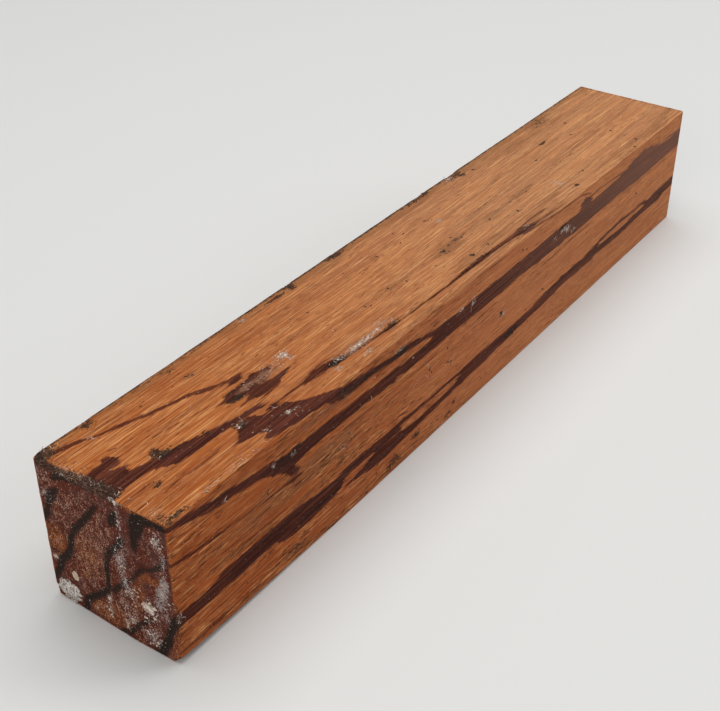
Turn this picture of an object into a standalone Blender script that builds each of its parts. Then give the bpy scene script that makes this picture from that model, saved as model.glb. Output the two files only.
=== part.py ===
"""A marblewood turning blank: a square billet sawn from striped hardwood, lying on one of its long sides.

Metres, +Z up. The origin is the middle of the underside. The billet runs along X. Its worn end, which
carries the thick remains of the end sealer, faces -X, and its open check runs along the top near -Y.
"""

import math

import bmesh
import bpy
from mathutils import Matrix, Vector

MM = 0.001

# Driving dimensions of the billet
LENGTH = 300 * MM
WIDTH = 45.2 * MM
HEIGHT = 47.1 * MM
ARRIS_RADIUS = 0.6 * MM
ARRIS_SEGMENTS = 2

# Two saw cuts meet on the worn end, in an upright ridge that stands this far out of its sides
RIDGE_Y = -6.8 * MM
RIDGE_RISE = 0.5 * MM

# The upper edge of the worn end is torn: (place along Y, run back along the top, drop down the end)
TORN_EDGE = [
    (-5.2, 4.4, 2.0),
    (1.0, 3.9, 1.7),
    (6.0, 3.0, 1.1),
    (12.0, 2.4, 0.8),
    (17.0, 2.9, 0.9),
    (24.0, 4.8, 1.3),
]

# The lower arris on the -Y side is rubbed away towards the worn end: (place along X, width of the wear)
RUBBED_ARRIS = [(-153.0, 3.4), (-144.0, 2.3), (-128.0, 1.5), (-105.0, 1.0), (-80.0, 0.1)]

# The open check in the top: (place along X, place along Y, width, depth)
CHECK = [
    (-78.0, -14.6, 0.3, 0.3),
    (-68.0, -15.3, 1.3, 1.0),
    (-45.0, -16.9, 1.0, 1.1),
    (-20.0, -17.9, 0.7, 1.0),
    (8.0, -18.3, 0.7, 0.9),
    (27.0, -19.6, 1.2, 1.0),
    (44.0, -21.0, 0.6, 0.7),
    (56.0, -21.4, 0.3, 0.2),
]

# Chips and pits: (name, centre, radii), each an ellipsoid taken out of the surface
CHIPS = [
    ("chip_far_front_corner", (151.2, -23.6, 47.6), (3.6, 2.6, 2.4)),
    ("chip_broken_corner", (-150.8, 23.4, 1.0), (3.4, 2.9, 5.4)),
    ("chip_near_back_corner", (-148.0, 23.4, 47.9), (5.5, 1.9, 1.6)),
    ("chip_back_a", (-132.0, 23.3, 47.7), (3.6, 1.9, 1.5)),
    ("chip_back_b", (-98.0, 23.2, 47.8), (6.5, 1.4, 1.3)),
    ("chip_back_c", (-60.0, 23.3, 47.7), (8.0, 1.5, 1.4)),
    ("chip_back_d", (-47.2, 22.9, 47.6), (2.6, 2.1, 1.4)),
    ("chip_back_e", (-23.0, 23.3, 47.8), (5.0, 1.7, 1.6)),
    ("chip_back_f", (25.5, 23.2, 47.7), (6.0, 1.8, 1.5)),
    ("chip_back_g", (47.0, 22.9, 47.8), (7.5, 3.0, 1.6)),
    ("chip_back_h", (108.0, 23.4, 47.9), (9.0, 1.6, 1.5)),
    ("chip_front_a", (-29.0, -23.1, 47.6), (4.2, 1.2, 1.2)),
    ("chip_front_b", (66.0, -23.2, 45.4), (4.5, 1.3, 1.6)),
    ("pit_front_a", (-53.4, -22.9, 2.4), (3.4, 1.2, 1.9)),
    ("pit_front_b", (-22.8, -22.8, 1.9), (1.9, 1.0, 1.2)),
    ("pit_top_a", (65.8, -18.4, 47.4), (1.5, 0.8, 1.1)),
    ("pit_top_b", (-130.0, -2.6, 47.6), (3.0, 1.9, 1.2)),
    ("chip_rear_lower_a", (-84.0, 23.2, -0.3), (6.0, 1.5, 1.4)),
    ("chip_rear_lower_b", (72.0, 23.2, -0.4), (9.0, 1.4, 1.5)),
]

# End sealer that still sits in its own spall: (name, middle in Y, middle in Z, radius in Y, radius in Z,
# depth into the wood, rise out of the middle plane)
SEALER = [
    ("wax_lump", 16.6, 3.95, 4.6, 3.7, 1.5, 0.8),
    ("wax_drop", 13.6, 11.1, 1.5, 1.7, 0.7, 0.35),
]
SEALER_CLEARANCE = 0.35 * MM
SEALER_CREST_X = -LENGTH / 2

CHIP_SIDES = 12
CHIP_RINGS = 6
SEALER_SIDES = 20
SEALER_RINGS = 10
CUTTER_OVERHANG = 1.5 * MM
CHECK_FLARE = 2.5


def clear_scene():
    for thing in list(bpy.data.objects):
        bpy.data.objects.remove(thing, do_unlink=True)


def make_material(name, colour, roughness):
    material = bpy.data.materials.new(name)
    material.use_nodes = True
    shader = material.node_tree.nodes["Principled BSDF"]
    shader.inputs["Base Color"].default_value = (*colour, 1.0)
    shader.inputs["Roughness"].default_value = roughness
    shader.inputs["Metallic"].default_value = 0.0
    material.diffuse_color = (*colour, 1.0)
    return material


def add_object(name, bm, collection, material=None):
    """Turns a bmesh into an object with its normals facing out."""
    bmesh.ops.recalc_face_normals(bm, faces=bm.faces)
    mesh = bpy.data.meshes.new(name)
    bm.to_mesh(mesh)
    bm.free()
    thing = bpy.data.objects.new(name, mesh)
    collection.objects.link(thing)
    if material:
        mesh.materials.append(material)
    return thing


def near_end_x(y):
    """Where the worn end lies at this Y: furthest out on the ridge, and falling away to both sides."""
    reach = WIDTH / 2 - RIDGE_Y if y > RIDGE_Y else WIDTH / 2 + RIDGE_Y
    return -LENGTH / 2 + RIDGE_RISE * abs(y - RIDGE_Y) / reach


def billet_mesh():
    """The sawn billet as its plan outline, with the ridge of the worn end as a fifth corner, drawn up."""
    half = WIDTH / 2
    outline = [
        (near_end_x(-half), -half),
        (LENGTH / 2, -half),
        (LENGTH / 2, half),
        (near_end_x(half), half),
        (near_end_x(RIDGE_Y), RIDGE_Y),
    ]
    bm = bmesh.new()
    floor = bm.faces.new([bm.verts.new((x, y, 0)) for x, y in outline])
    grown = bmesh.ops.extrude_face_region(bm, geom=[floor])
    lifted = [item for item in grown["geom"] if isinstance(item, bmesh.types.BMVert)]
    bmesh.ops.translate(bm, verts=lifted, vec=(0, 0, HEIGHT))
    return bm


def lofted(sections):
    """A closed solid through rings of points that all have the same number of points."""
    bm = bmesh.new()
    rings = [[bm.verts.new(point) for point in section] for section in sections]
    for ring, following in zip(rings, rings[1:]):
        for i in range(len(ring)):
            j = (i + 1) % len(ring)
            bm.faces.new((ring[i], ring[j], following[j], following[i]))
    bm.faces.new(rings[0])
    bm.faces.new(rings[-1])
    return bm


def torn_edge_cutter():
    """What is missing along the upper edge of the worn end: a wedge whose run and drop change along Y."""
    outside = -LENGTH / 2 - CUTTER_OVERHANG
    above = HEIGHT + CUTTER_OVERHANG
    sections = []
    for y, run, drop in TORN_EDGE:
        end = near_end_x(y * MM)
        slope = drop / run
        sections.append(
            [
                (outside, y * MM, above),
                (outside, y * MM, HEIGHT - drop * MM - slope * (end - outside)),
                (end + run * MM, y * MM, HEIGHT),
                (end + run * MM, y * MM, above),
            ]
        )
    return lofted(sections)


def rubbed_arris_cutter():
    """What is rubbed away from the lower arris on the -Y side: a wedge that dies out along X."""
    side = -WIDTH / 2
    sections = []
    for x, wear in RUBBED_ARRIS:
        sections.append(
            [
                (x * MM, side - CUTTER_OVERHANG, -CUTTER_OVERHANG - wear * MM),
                (x * MM, side + wear * MM + CUTTER_OVERHANG, -CUTTER_OVERHANG),
                (x * MM, side - CUTTER_OVERHANG, wear * MM + CUTTER_OVERHANG),
            ]
        )
    return lofted(sections)


def check_cutter():
    """The open check: a groove with a V section that follows the grain, drawn on past the surface."""
    sections = []
    for x, y, width, depth in CHECK:
        half = width / 2 * CHECK_FLARE * MM
        lip = HEIGHT + depth * (CHECK_FLARE - 1) * MM
        sections.append(
            [
                (x * MM, y * MM, HEIGHT - depth * MM),
                (x * MM, y * MM - half, lip),
                (x * MM, y * MM + half, lip),
            ]
        )
    return lofted(sections)


def ellipsoid(centre, radii, sides, rings):
    bm = bmesh.new()
    place = Matrix.Translation(Vector(centre)) @ Matrix.Diagonal((*radii, 1.0))
    bmesh.ops.create_uvsphere(bm, u_segments=sides, v_segments=rings, radius=1.0, matrix=place)
    return bm


def sealer_mesh(y, z, radius_y, radius_z, depth, rise, grown=0.0):
    """A lens of sealer, deep into the wood and with a low crest level with the furthest point of the end."""
    centre = Vector((SEALER_CREST_X + rise, y, z))
    bm = bmesh.new()
    turn = Matrix.Rotation(math.radians(90), 4, "Y")
    bmesh.ops.create_uvsphere(
        bm, u_segments=SEALER_SIDES, v_segments=SEALER_RINGS, radius=1.0, matrix=turn
    )
    for vertex in bm.verts:
        reach = depth if vertex.co.x > 0 else rise
        stretch = (reach + grown, radius_y + grown, radius_z + grown)
        vertex.co = centre + Vector(a * b for a, b in zip(vertex.co, stretch))
    return bm


def in_metres(values):
    return [value * MM for value in values]


def make_cutters(collection):
    """Everything that wear, tearing and sealer have taken from the sawn billet."""
    cutters = [
        add_object("cut_torn_edge", torn_edge_cutter(), collection),
        add_object("cut_rubbed_arris", rubbed_arris_cutter(), collection),
        add_object("cut_check", check_cutter(), collection),
    ]
    for name, centre, radii in CHIPS:
        bm = ellipsoid(in_metres(centre), in_metres(radii), CHIP_SIDES, CHIP_RINGS)
        cutters.append(add_object("cut_" + name, bm, collection))
    for name, *sizes in SEALER:
        bm = sealer_mesh(*in_metres(sizes), grown=SEALER_CLEARANCE)
        cutters.append(add_object("cut_seat_of_" + name, bm, collection))
    for cutter in cutters:
        cutter.hide_render = True
        cutter.display_type = "WIRE"


def main():
    clear_scene()
    wood = make_material("marblewood", (0.45, 0.19, 0.075), 0.62)
    wax = make_material("end_sealer", (0.62, 0.57, 0.53), 0.55)

    shapes = bpy.context.scene.collection
    cutters = bpy.data.collections.new("cutters")
    shapes.children.link(cutters)
    make_cutters(cutters)

    blank = add_object("wood_blank", billet_mesh(), shapes, wood)
    bevel = blank.modifiers.new("eased_arrises", "BEVEL")
    bevel.width = ARRIS_RADIUS
    bevel.segments = ARRIS_SEGMENTS
    bevel.limit_method = "ANGLE"
    bevel.angle_limit = math.radians(30)
    wear = blank.modifiers.new("wear", "BOOLEAN")
    wear.operation = "DIFFERENCE"
    wear.solver = "EXACT"
    wear.operand_type = "COLLECTION"
    wear.collection = cutters

    for name, *sizes in SEALER:
        clot = add_object(name, sealer_mesh(*in_metres(sizes)), shapes, wax)
        clot.data.shade_smooth()


main()
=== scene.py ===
"""The looks of a marblewood turning blank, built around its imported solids.

Lengths are in metres, with +Z up, and the billet lies along X with its worn, sealed end at -X. Marks on the
wood are written in millimetres on the face where they lie: (x, y) on top and underneath, (x, z) on the front
(-Y) and the back (+Y), and (y, z) on the ends.
"""

import math

import bmesh
import bpy
import numpy as np
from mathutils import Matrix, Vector
from mathutils.bvhtree import BVHTree


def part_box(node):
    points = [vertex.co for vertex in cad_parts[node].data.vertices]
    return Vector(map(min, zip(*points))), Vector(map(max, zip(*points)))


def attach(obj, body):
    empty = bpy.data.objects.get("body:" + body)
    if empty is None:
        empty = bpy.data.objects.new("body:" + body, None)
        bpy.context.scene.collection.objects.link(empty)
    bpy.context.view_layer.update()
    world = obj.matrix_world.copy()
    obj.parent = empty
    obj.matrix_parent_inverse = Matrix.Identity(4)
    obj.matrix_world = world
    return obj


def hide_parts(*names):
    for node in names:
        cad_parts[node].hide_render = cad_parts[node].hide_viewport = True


MM = 0.001
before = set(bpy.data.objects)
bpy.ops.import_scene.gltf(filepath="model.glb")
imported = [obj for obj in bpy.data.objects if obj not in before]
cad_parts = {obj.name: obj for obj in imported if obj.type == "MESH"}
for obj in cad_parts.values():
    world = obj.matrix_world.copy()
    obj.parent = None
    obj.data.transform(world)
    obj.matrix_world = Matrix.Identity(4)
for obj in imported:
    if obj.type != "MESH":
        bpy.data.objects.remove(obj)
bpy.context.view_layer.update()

# The billet, as the solids have it, in millimetres. Its arrises are eased by an uneven share of the radius
LOW, HIGH = (np.array(corner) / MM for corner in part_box("wood_blank"))
LENGTH, WIDTH, HEIGHT = HIGH - LOW
HALF_LENGTH = LENGTH / 2
HALF_WIDTH = WIDTH / 2
ARRIS_RADIUS = 0.6
ARRIS_SHARE = 0.6
ARRIS_UNEVEN = 0.35
RIDGE_Y = -6.8
RIDGE_RISE = 0.5

# Wear, in millimetres: the forms of the solids, with the torn edge and the chips a little smaller
TORN_EDGE_Y = (-5.9, -5, 1, 6, 12, 17, 24)
TORN_EDGE_RUN = (0.05, 4.4, 3.9, 3, 2.2, 1.9, 1.6)
TORN_EDGE_DROP = (0.05, 2, 1.7, 1.1, 0.8, 0.7, 0.5)
# The dark matted skin of the torn edge: its reach along the top, at the same Y, and down the end, and its
# strength at the very edge
LAP_RUN = (3.8, 3.8, 3.6, 2.6, 1.5, 0.8, 3.2)
LAP_DROP = 1.6
LAP_CREST = 1.5
RUBBED_X = (-150, -144, -128, -105, -80)
RUBBED_WIDTH = (2.9, 2.3, 1.5, 1, 0.1)
CHECK_X = (-78, -68, -45, -20, 8, 27, 44, 56)
CHECK_Y = (-14.6, -15.3, -16.9, -17.9, -18.3, -19.6, -21, -21.4)
CHECK_WIDTH = (0.3, 1.3, 1, 0.7, 0.7, 1.2, 0.6, 0.3)
CHECK_DEPTH = (0.3, 1, 1.1, 1, 0.9, 1, 0.7, 0.2)
CHECK_WANDER = 0.25
CHECK_NARROWEST = 0.1
# Chips and pits: (centre, radii). Each is frayed, so its smooth form is this share of the size given
CHIP_SHARE = 0.74
CHIPS = [
    ((151.2, -23.6, 47.6), (3.6, 2.6, 2.4)),
    ((-150.8, 23.4, 1), (3.4, 2.9, 5.4)),
    ((-147.5, 23.7, 48), (3.6, 1.3, 1.2)),
    ((-132, 23.3, 47.7), (3.6, 1.9, 1.5)),
    ((-98, 23.2, 47.8), (6.5, 1.4, 1.3)),
    ((-60, 23.3, 47.7), (8, 1.5, 1.4)),
    ((-47.2, 22.9, 47.6), (2.6, 2.1, 1.4)),
    ((-23, 23.3, 47.8), (5, 1.7, 1.6)),
    ((25.5, 23.2, 47.7), (6, 1.8, 1.5)),
    ((47, 22.9, 47.8), (7.5, 3, 1.6)),
    ((108, 23.4, 47.9), (9, 1.6, 1.5)),
    ((-29, -23.1, 47.6), (4.2, 1.2, 1.2)),
    ((66, -23.2, 45.4), (4.5, 1.3, 1.6)),
    ((-53.4, -22.9, 2.4), (3.4, 1.2, 1.9)),
    ((-22.8, -22.8, 1.9), (1.9, 1, 1.2)),
    ((65.8, -18.4, 47.4), (1.5, 0.8, 1.1)),
    ((-130, -2.6, 47.6), (3, 1.9, 1.2)),
    ((-84, 23.2, -0.3), (6, 1.5, 1.4)),
    ((72, 23.2, -0.4), (9, 1.4, 1.5)),
]

# How much the fibres fray the torn edge, the rubbed arris and the chips
TORN_FRAY = 0.28
RUBBED_FRAY = 0.06
CHIP_FRAY = 0.15

# The mesh of the billet: counts of cells, and bands in millimetres where the cells lie closer
CELLS_ACROSS = 96
CELLS_ALONG = 206
EDGE_CELLS = 4
EDGE_BAND = 1.1
NEAR_BAND = 8.0
NEAR_CELLS = 16
# Each point of it is found by halving, this often, between an anchor this deep in the wood and the plain box
ANCHOR_DEPTH = 9.0
BISECTIONS = 22
# Its edges are shaded as sharp from this angle on
SHARP_ANGLE = math.radians(40)
# Its rows of points are drawn in towards the check: by how much, from how far, and where that fades out
GATHER_PULL = 0.75
GATHER_CORE = 0.9
GATHER_REACH = 4.0
GATHER_FADE_X = 6.0
GATHER_FADE_Y = 2.5

# Its layout for baking, as shares of the square: four strips for the long faces, and the ends above them
STRIP_SIZE = 0.152
STRIP_STEP = 0.16
STRIP_MARGIN = 0.005
END_SIZE = 0.34
END_STEP = 0.36
END_MARGIN = 0.01

# The marks were read off the photograph on a billet this much smaller
MARK_SCALE = 1.0058
# A vein on a long face tapers this many times slower along the grain than across it
GRAIN_STRETCH = 3.0
# An X past the ends, for veins that run through
THROUGH = 152.0
# A soft patch is this strong in its middle and falls off by this much per reach
PATCH_CREST = 1.35
PATCH_FALL = 0.7

# Dark veins on the long faces: (darkness, [(x, upper edge, lower edge), ...])
TOP_VEINS = [
    # the thin vein from the near back corner
    (0.65, [(-146, 19.5, 18.8), (-141, 18.8, 17.1), (-139, 18.2, 16.7), (-134, 15.8, 14.7),
        (-126, 13.9, 12.5), (-119, 11.4, 9.9), (-115, 10.3, 9.2), (-107, 8.6, 7.4), (-103, 7.1, 4.7),
        (-101, 6.2, 4.4), (-97, 4.6, 3.5), (-91, 3.6, 2.8)]),
    (0.4, [(-126, 3.4, 2.9), (-116, 1.9, 1.4), (-106, 0.4, 0)]),
    (0.4, [(-THROUGH, -8.2, -8.7), (-140, -8.6, -9.1), (-128, -9.3, -9.8)]),
    (0.4, [(-149, -12.8, -13.3), (-136, -13.3, -13.9), (-120, -13.8, -14.2)]),
    # the torn blotch that it runs into
    (0.9, [(-98.5, 2.2, 1.9), (-96, 3.6, 1.3), (-93, 3.4, 1.8), (-91, 2.8, 2.4)]),
    (0.9, [(-106, -1.4, -1.9), (-102.5, -0.6, -3), (-100, 0.2, -4.6), (-97.5, -0.4, -4.2), (-95, 1.2, -5),
        (-92.5, 0.2, -4.4), (-90, 1.4, -4.8), (-87.5, 0.2, -3.6), (-84, -0.2, -1)]),
    (0.85, [(-103, -6.4, -6.9), (-98, -5.5, -6.9), (-95.5, -4.6, -8.4), (-92, -4.4, -8.1),
        (-89, -5.2, -8.7), (-86.5, -5, -7.2), (-81, -5.5, -6)]),
    (0.75, [(-99, -4.3, -5.5), (-95, -3.9, -5.8), (-91, -4.1, -5.6), (-88, -4.6, -5.2)]),
    (0.7, [(-101, -8.9, -9.1), (-95, -8.4, -9.3), (-89, -7.4, -8.1)]),
    # the striated patch at the worn end
    (0.9, [(-THROUGH, 6.4, 2.6), (-141, 6.3, 2.6), (-139.4, 7.3, 2.4), (-137.6, 6.8, 2.8),
        (-136.4, 4.6, 3.6)]),
    (0.9, [(-THROUGH, 4, -5), (-143, 3.4, -5), (-139, 1.2, -0.4), (-137.5, 0.9, 0.4)]),
    # the long vein that leaves it
    (1.0, [(-THROUGH, 0.8, -5), (-143, 0.3, -5.1), (-139, -0.9, -5.5), (-135, -2.3, -6.1), (-131.5, -3, -8),
        (-129.5, -3.2, -9.6), (-122, -4.9, -9.9), (-118, -6.2, -9.7), (-108, -8.2, -10.4),
        (-103, -8.8, -11.4), (-98.6, -9.4, -11.6)]),
    # the broad ragged patch that goes over the front arris
    (1.0, [(-116.2, -15.7, -16.1), (-113.4, -14.5, -16.7), (-110.5, -11.6, -17.7), (-108, -10.2, -18.4),
        (-104.5, -10.9, -18.9), (-102.5, -13.8, -22)]),
    (1.0, [(-109.6, -20.4, -21.2), (-107.5, -18.7, -21.9), (-104, -15, -22.4), (-100, -14.2, -23)]),
    (1.0, [(-105.5, -13.6, -19.5), (-101, -14.1, -22.7), (-97, -14.4, -23.1), (-93.6, -14.8, -23.5),
        (-93.3, -16.6, -23.5), (-90, -18.4, -23.9), (-85, -20.9, -24.8), (-80, -23, -26.6)]),
    # veins and dark lines along the open check
    (0.9, [(-100, -12.9, -14.6), (-98, -12.2, -14.8), (-96, -12.8, -14.6)]),
    (0.7, [(-97, -12.5, -13), (-90, -12.8, -13.4), (-85, -13.2, -13.9)]),
    (0.9, [(-86, -13.3, -13.8), (-84.3, -12.5, -14.4), (-80, -12, -14.7), (-75, -12.3, -14.7),
        (-71, -12.9, -15.2), (-67, -14.7, -15.7)]),
    (0.4, [(-81, -11.2, -11.6), (-75, -11.3, -11.8), (-69, -11.9, -12.3)]),
    (0.7, [(-74, -14.8, -15.4), (-65, -15.4, -16.1), (-55, -15.8, -16.5), (-49, -16.2, -17.3),
        (-45, -16.6, -17.7), (-42, -16.7, -17.3), (-30, -17.3, -17.9)]),
    (0.5, [(-32, -17.2, -17.9), (-20, -17.4, -18.4), (-10, -17, -18.6), (0, -17, -18.9), (10, -17.5, -18.9),
        (20, -17.6, -19.1), (24, -18, -20.4)]),
    (0.9, [(20.5, -17.9, -18.7), (23, -17.4, -20.9), (26, -17.3, -21.7), (29, -18.2, -21.4),
        (32, -19.6, -20.6)]),
    (0.6, [(26, -17.4, -18.1), (35, -16.9, -17.6), (40, -17.4, -18.1), (45, -18.2, -18.6)]),
    (0.7, [(28, -19.5, -20.4), (37, -20, -20.8), (46, -20.5, -20.9)]),
    (0.6, [(18, -20.3, -20.7), (28, -21, -21.8), (40, -22, -22.6), (45, -22.6, -23)]),
]
FRONT_VEINS = [
    # what goes over from the top, down to the vein below it
    (1.0, [(-91, 47.2, 46), (-87, 46.9, 45.2), (-84.5, 46.8, 43.2), (-80, 46.3, 42.2), (-70, 44.8, 41.6),
        (-60, 43.4, 41.2), (-50, 42.8, 40.2), (-40, 41.3, 39.3), (-35, 40.5, 38.3), (-32, 40, 36.6)]),
    # the upper vein
    (1.0, [(-THROUGH, 46.7, 45), (-145, 46, 44), (-140, 45.1, 42.5), (-135, 44.3, 41), (-130, 43.5, 39.8),
        (-120, 42, 38.9), (-115, 41.2, 38), (-110, 40.3, 35.5), (-107, 39.8, 34.4), (-103.5, 39.4, 32.6),
        (-100.5, 39.2, 33.8), (-90, 38.8, 34.2), (-70, 38.1, 34.1), (-50, 37.6, 33.4), (-36, 37.2, 33),
        (-33.5, 38.4, 33.1), (-31.5, 40, 33.2), (-20, 39.4, 33.3), (20, 39.4, 33), (50, 39.6, 32.6),
        (60, 39.5, 32.3), (80, 39.7, 32.3), (94, 40.2, 32.4), (100, 41.5, 32.1), (105, 42.6, 31.8),
        (113, 43.4, 31.6), (120, 42.9, 31.8), (125, 41, 32), (135, 39.4, 32.2), (THROUGH, 39, 32.3)]),
    (0.9, [(-105, 34, 32.8), (-102.6, 33.4, 30.9), (-100.5, 33, 30), (-99, 31.6, 30.4)]),
    (0.8, [(61.5, 41.6, 39), (63, 42.7, 39), (66, 43.2, 39), (69, 42.2, 39), (71, 40.4, 39)]),
    (0.45, [(67, 42.5, 41.7), (75, 42.5, 41.7), (85, 42.1, 41.4), (94, 41.5, 40.6), (98, 41.2, 40.6)]),
    (0.5, [(123, 42, 40.8), (130, 41.2, 40.6), (140, 40.5, 39.6), (THROUGH, 39.6, 38.6)]),
    (0.5, [(38, 46.9, 46.5), (45, 46.5, 46), (55, 46.2, 45.5), (62, 45.7, 44.9), (66, 44.9, 44),
        (69.5, 43.4, 42.8)]),
    # the lower vein, which splits twice
    (1.0, [(-THROUGH, 17.6, 13), (-140, 17.3, 13), (-135, 17.9, 12.8), (-131, 18.8, 12.8),
        (-120, 19.2, 12.9), (-110, 18.7, 12.8), (-107.5, 18.8, 10.9), (-100, 18.3, 9.8), (-92, 17.2, 10.1),
        (-84, 17, 10.7), (-81, 17, 11.4), (-79.5, 17, 12.8)]),
    (0.95, [(-82, 17.1, 13.6), (-70, 17.5, 14.2), (-64, 17.1, 13.9), (-58, 16.8, 13), (-50.5, 16.8, 12.9)]),
    (0.8, [(-79, 11, 10.1), (-75, 11.4, 10), (-71, 11.8, 9.6), (-68, 12.6, 8.9)]),
    (0.95, [(-70.5, 11.6, 9.8), (-67, 13, 8.7), (-62, 14, 8.4), (-52, 13.5, 8.3), (-49, 12.7, 8.6),
        (-45, 12.1, 8.9), (-35, 12, 9.3), (-25, 12.2, 9.9), (-18, 13, 10.2), (-14.5, 15.7, 10.3)]),
    (0.75, [(-54, 16.7, 15), (-40, 16.3, 15), (-30, 16, 14.7), (-20, 15.9, 14.7), (-15, 15.8, 14)]),
    (0.95, [(-18, 15.8, 10.2), (-10, 15.9, 10.6), (0, 16, 10.8), (10, 15.8, 11.2), (20, 15.7, 12),
        (30, 16, 12.2), (40, 17, 12.7), (50, 17.8, 13.4), (60, 18, 13.7), (70, 18, 13.2), (78, 18.7, 13.4),
        (82, 17.4, 13.7)]),
    (0.8, [(76, 18.8, 17.4), (84, 19.4, 18.2), (92, 19.8, 18.3), (100, 20.1, 18.7), (110, 19.5, 18.3),
        (118, 19.4, 18.2), (124, 18.4, 17.2)]),
    (1.0, [(80, 17.3, 13.7), (85, 16.9, 13.7), (95, 16.2, 13.4), (100, 15.9, 13.1), (110, 16.4, 13.6),
        (120, 16.8, 13.8), (124, 17.8, 14)]),
    (1.0, [(121, 18.2, 14.2), (126, 18.3, 13.9), (130, 18.9, 13.6), (135, 19.2, 13.1), (140, 19.2, 14.6),
        (THROUGH, 19.2, 15)]),
    # thin lines between the veins
    (0.75, [(-THROUGH, 35.2, 34.3), (-140, 33.4, 32.1), (-130, 32, 31.1), (-120, 30.8, 30.3),
        (-110, 30.1, 29.5), (-101, 29.8, 28.4), (-98, 29.4, 28.2)]),
    (0.35, [(-THROUGH, 25.7, 25.3), (-140, 25.3, 24.8), (-128, 25, 24.5), (-117, 24.8, 24.5)]),
    (0.3, [(-76, 30.6, 30.2), (-50, 30.5, 30), (-20, 30.5, 30.1), (6, 30.7, 30.3)]),
    (0.35, [(-79, 28.5, 28), (-62, 28.3, 27.9), (-44, 28.4, 28)]),
    (0.25, [(-7, 30.8, 30.2), (4, 30.9, 30.3)]),
    (0.35, [(-80, 31.7, 31.1), (-70, 31.3, 30.7), (-62, 31.2, 30.9)]),
    (0.3, [(-THROUGH, 9.3, 8.9), (-140, 9, 8.6), (-126, 8.6, 8.3)]),
    (0.3, [(-THROUGH, 5.1, 4.6), (-138, 4.4, 4), (-118, 3.9, 3.6)]),
    (0.3, [(-136, 22.6, 22.2), (-120, 22.2, 21.7), (-104, 21.6, 21.2)]),
    (0.25, [(95, 31, 30.4), (120, 30.9, 30.5), (138, 31.2, 30.7)]),
    (0.35, [(28, 30.2, 29.9), (42, 30.1, 29.5), (56, 30.8, 30.3), (72, 30.5, 30)]),
    (0.3, [(-10, 46.2, 45.8), (2, 46.2, 45.7), (12, 46, 45.7)]),
    (0.3, [(-96, 26.6, 26.2), (-84, 26.2, 25.7), (-72, 25.9, 25.5)]),
]

# Hidden in the photograph: veins that carry on from the ends of those that show
UNDERSIDE_VEINS = [
    (1.0, [(-THROUGH, -13.8, -17.2), (-130, -13, -17.6), (-96, -12.2, -16.2), (-60, -11.8, -17.4),
        (-20, -14, -18.6), (30, -13.6, -17), (84, -12.4, -16.8), (THROUGH, -13.6, -16.6)]),
    (1.0, [(-THROUGH, 12.8, 8.8), (-138, 12, 6.9), (-112, 9.4, 5.9), (-74, 7.8, 2.2), (-30, 4.6, 0.8),
        (16, 3, -2.8), (64, -0.6, -4.8), (108, -2.6, -7.4), (THROUGH, -4, -7.4)]),
    (0.7, [(-92, 16.6, 15.8), (-60, 15.6, 13.8), (-22, 14.6, 13.2), (20, 13.2, 11.4), (48, 12, 11.6)]),
    (0.4, [(-50, -5.6, -6.1), (-10, -6.8, -7.4), (26, -7.6, -8)]),
    (0.4, [(40, 18.1, 17.5), (84, 16.8, 16.1), (120, 16, 15.6)]),
]
BACK_VEINS = [
    (1.0, [(-THROUGH, 28.9, 25.6), (-132, 29.4, 25), (-104, 31.2, 26.8), (-66, 31.8, 28.6), (-24, 34, 29.4),
        (22, 34.6, 30.8), (70, 33.4, 28), (112, 31.2, 27.4), (THROUGH, 30.6, 27.6)]),
    (1.0, [(-THROUGH, 8.2, 4.6), (-126, 8.8, 5.2), (-90, 10.6, 5.4), (-48, 12.4, 8.2), (0, 13.2, 9),
        (36, 12.2, 8), (80, 12.6, 9.8), (124, 14, 10.2), (THROUGH, 13.8, 10.6)]),
    (0.8, [(-58, 24.4, 23.9), (-40, 24.2, 22), (-8, 22.6, 20.4), (22, 22.4, 21), (42, 21.8, 21.4)]),
    (0.5, [(-THROUGH, 39, 38.3), (-120, 39.4, 38.9), (-86, 40.6, 39.8), (-52, 41.2, 40.8)]),
    (0.4, [(10, 42, 41.4), (60, 41.4, 40.6), (104, 40.2, 39.8)]),
    (0.35, [(-96, 17.4, 16.9), (-50, 18.2, 17.7)]),
]

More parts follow.
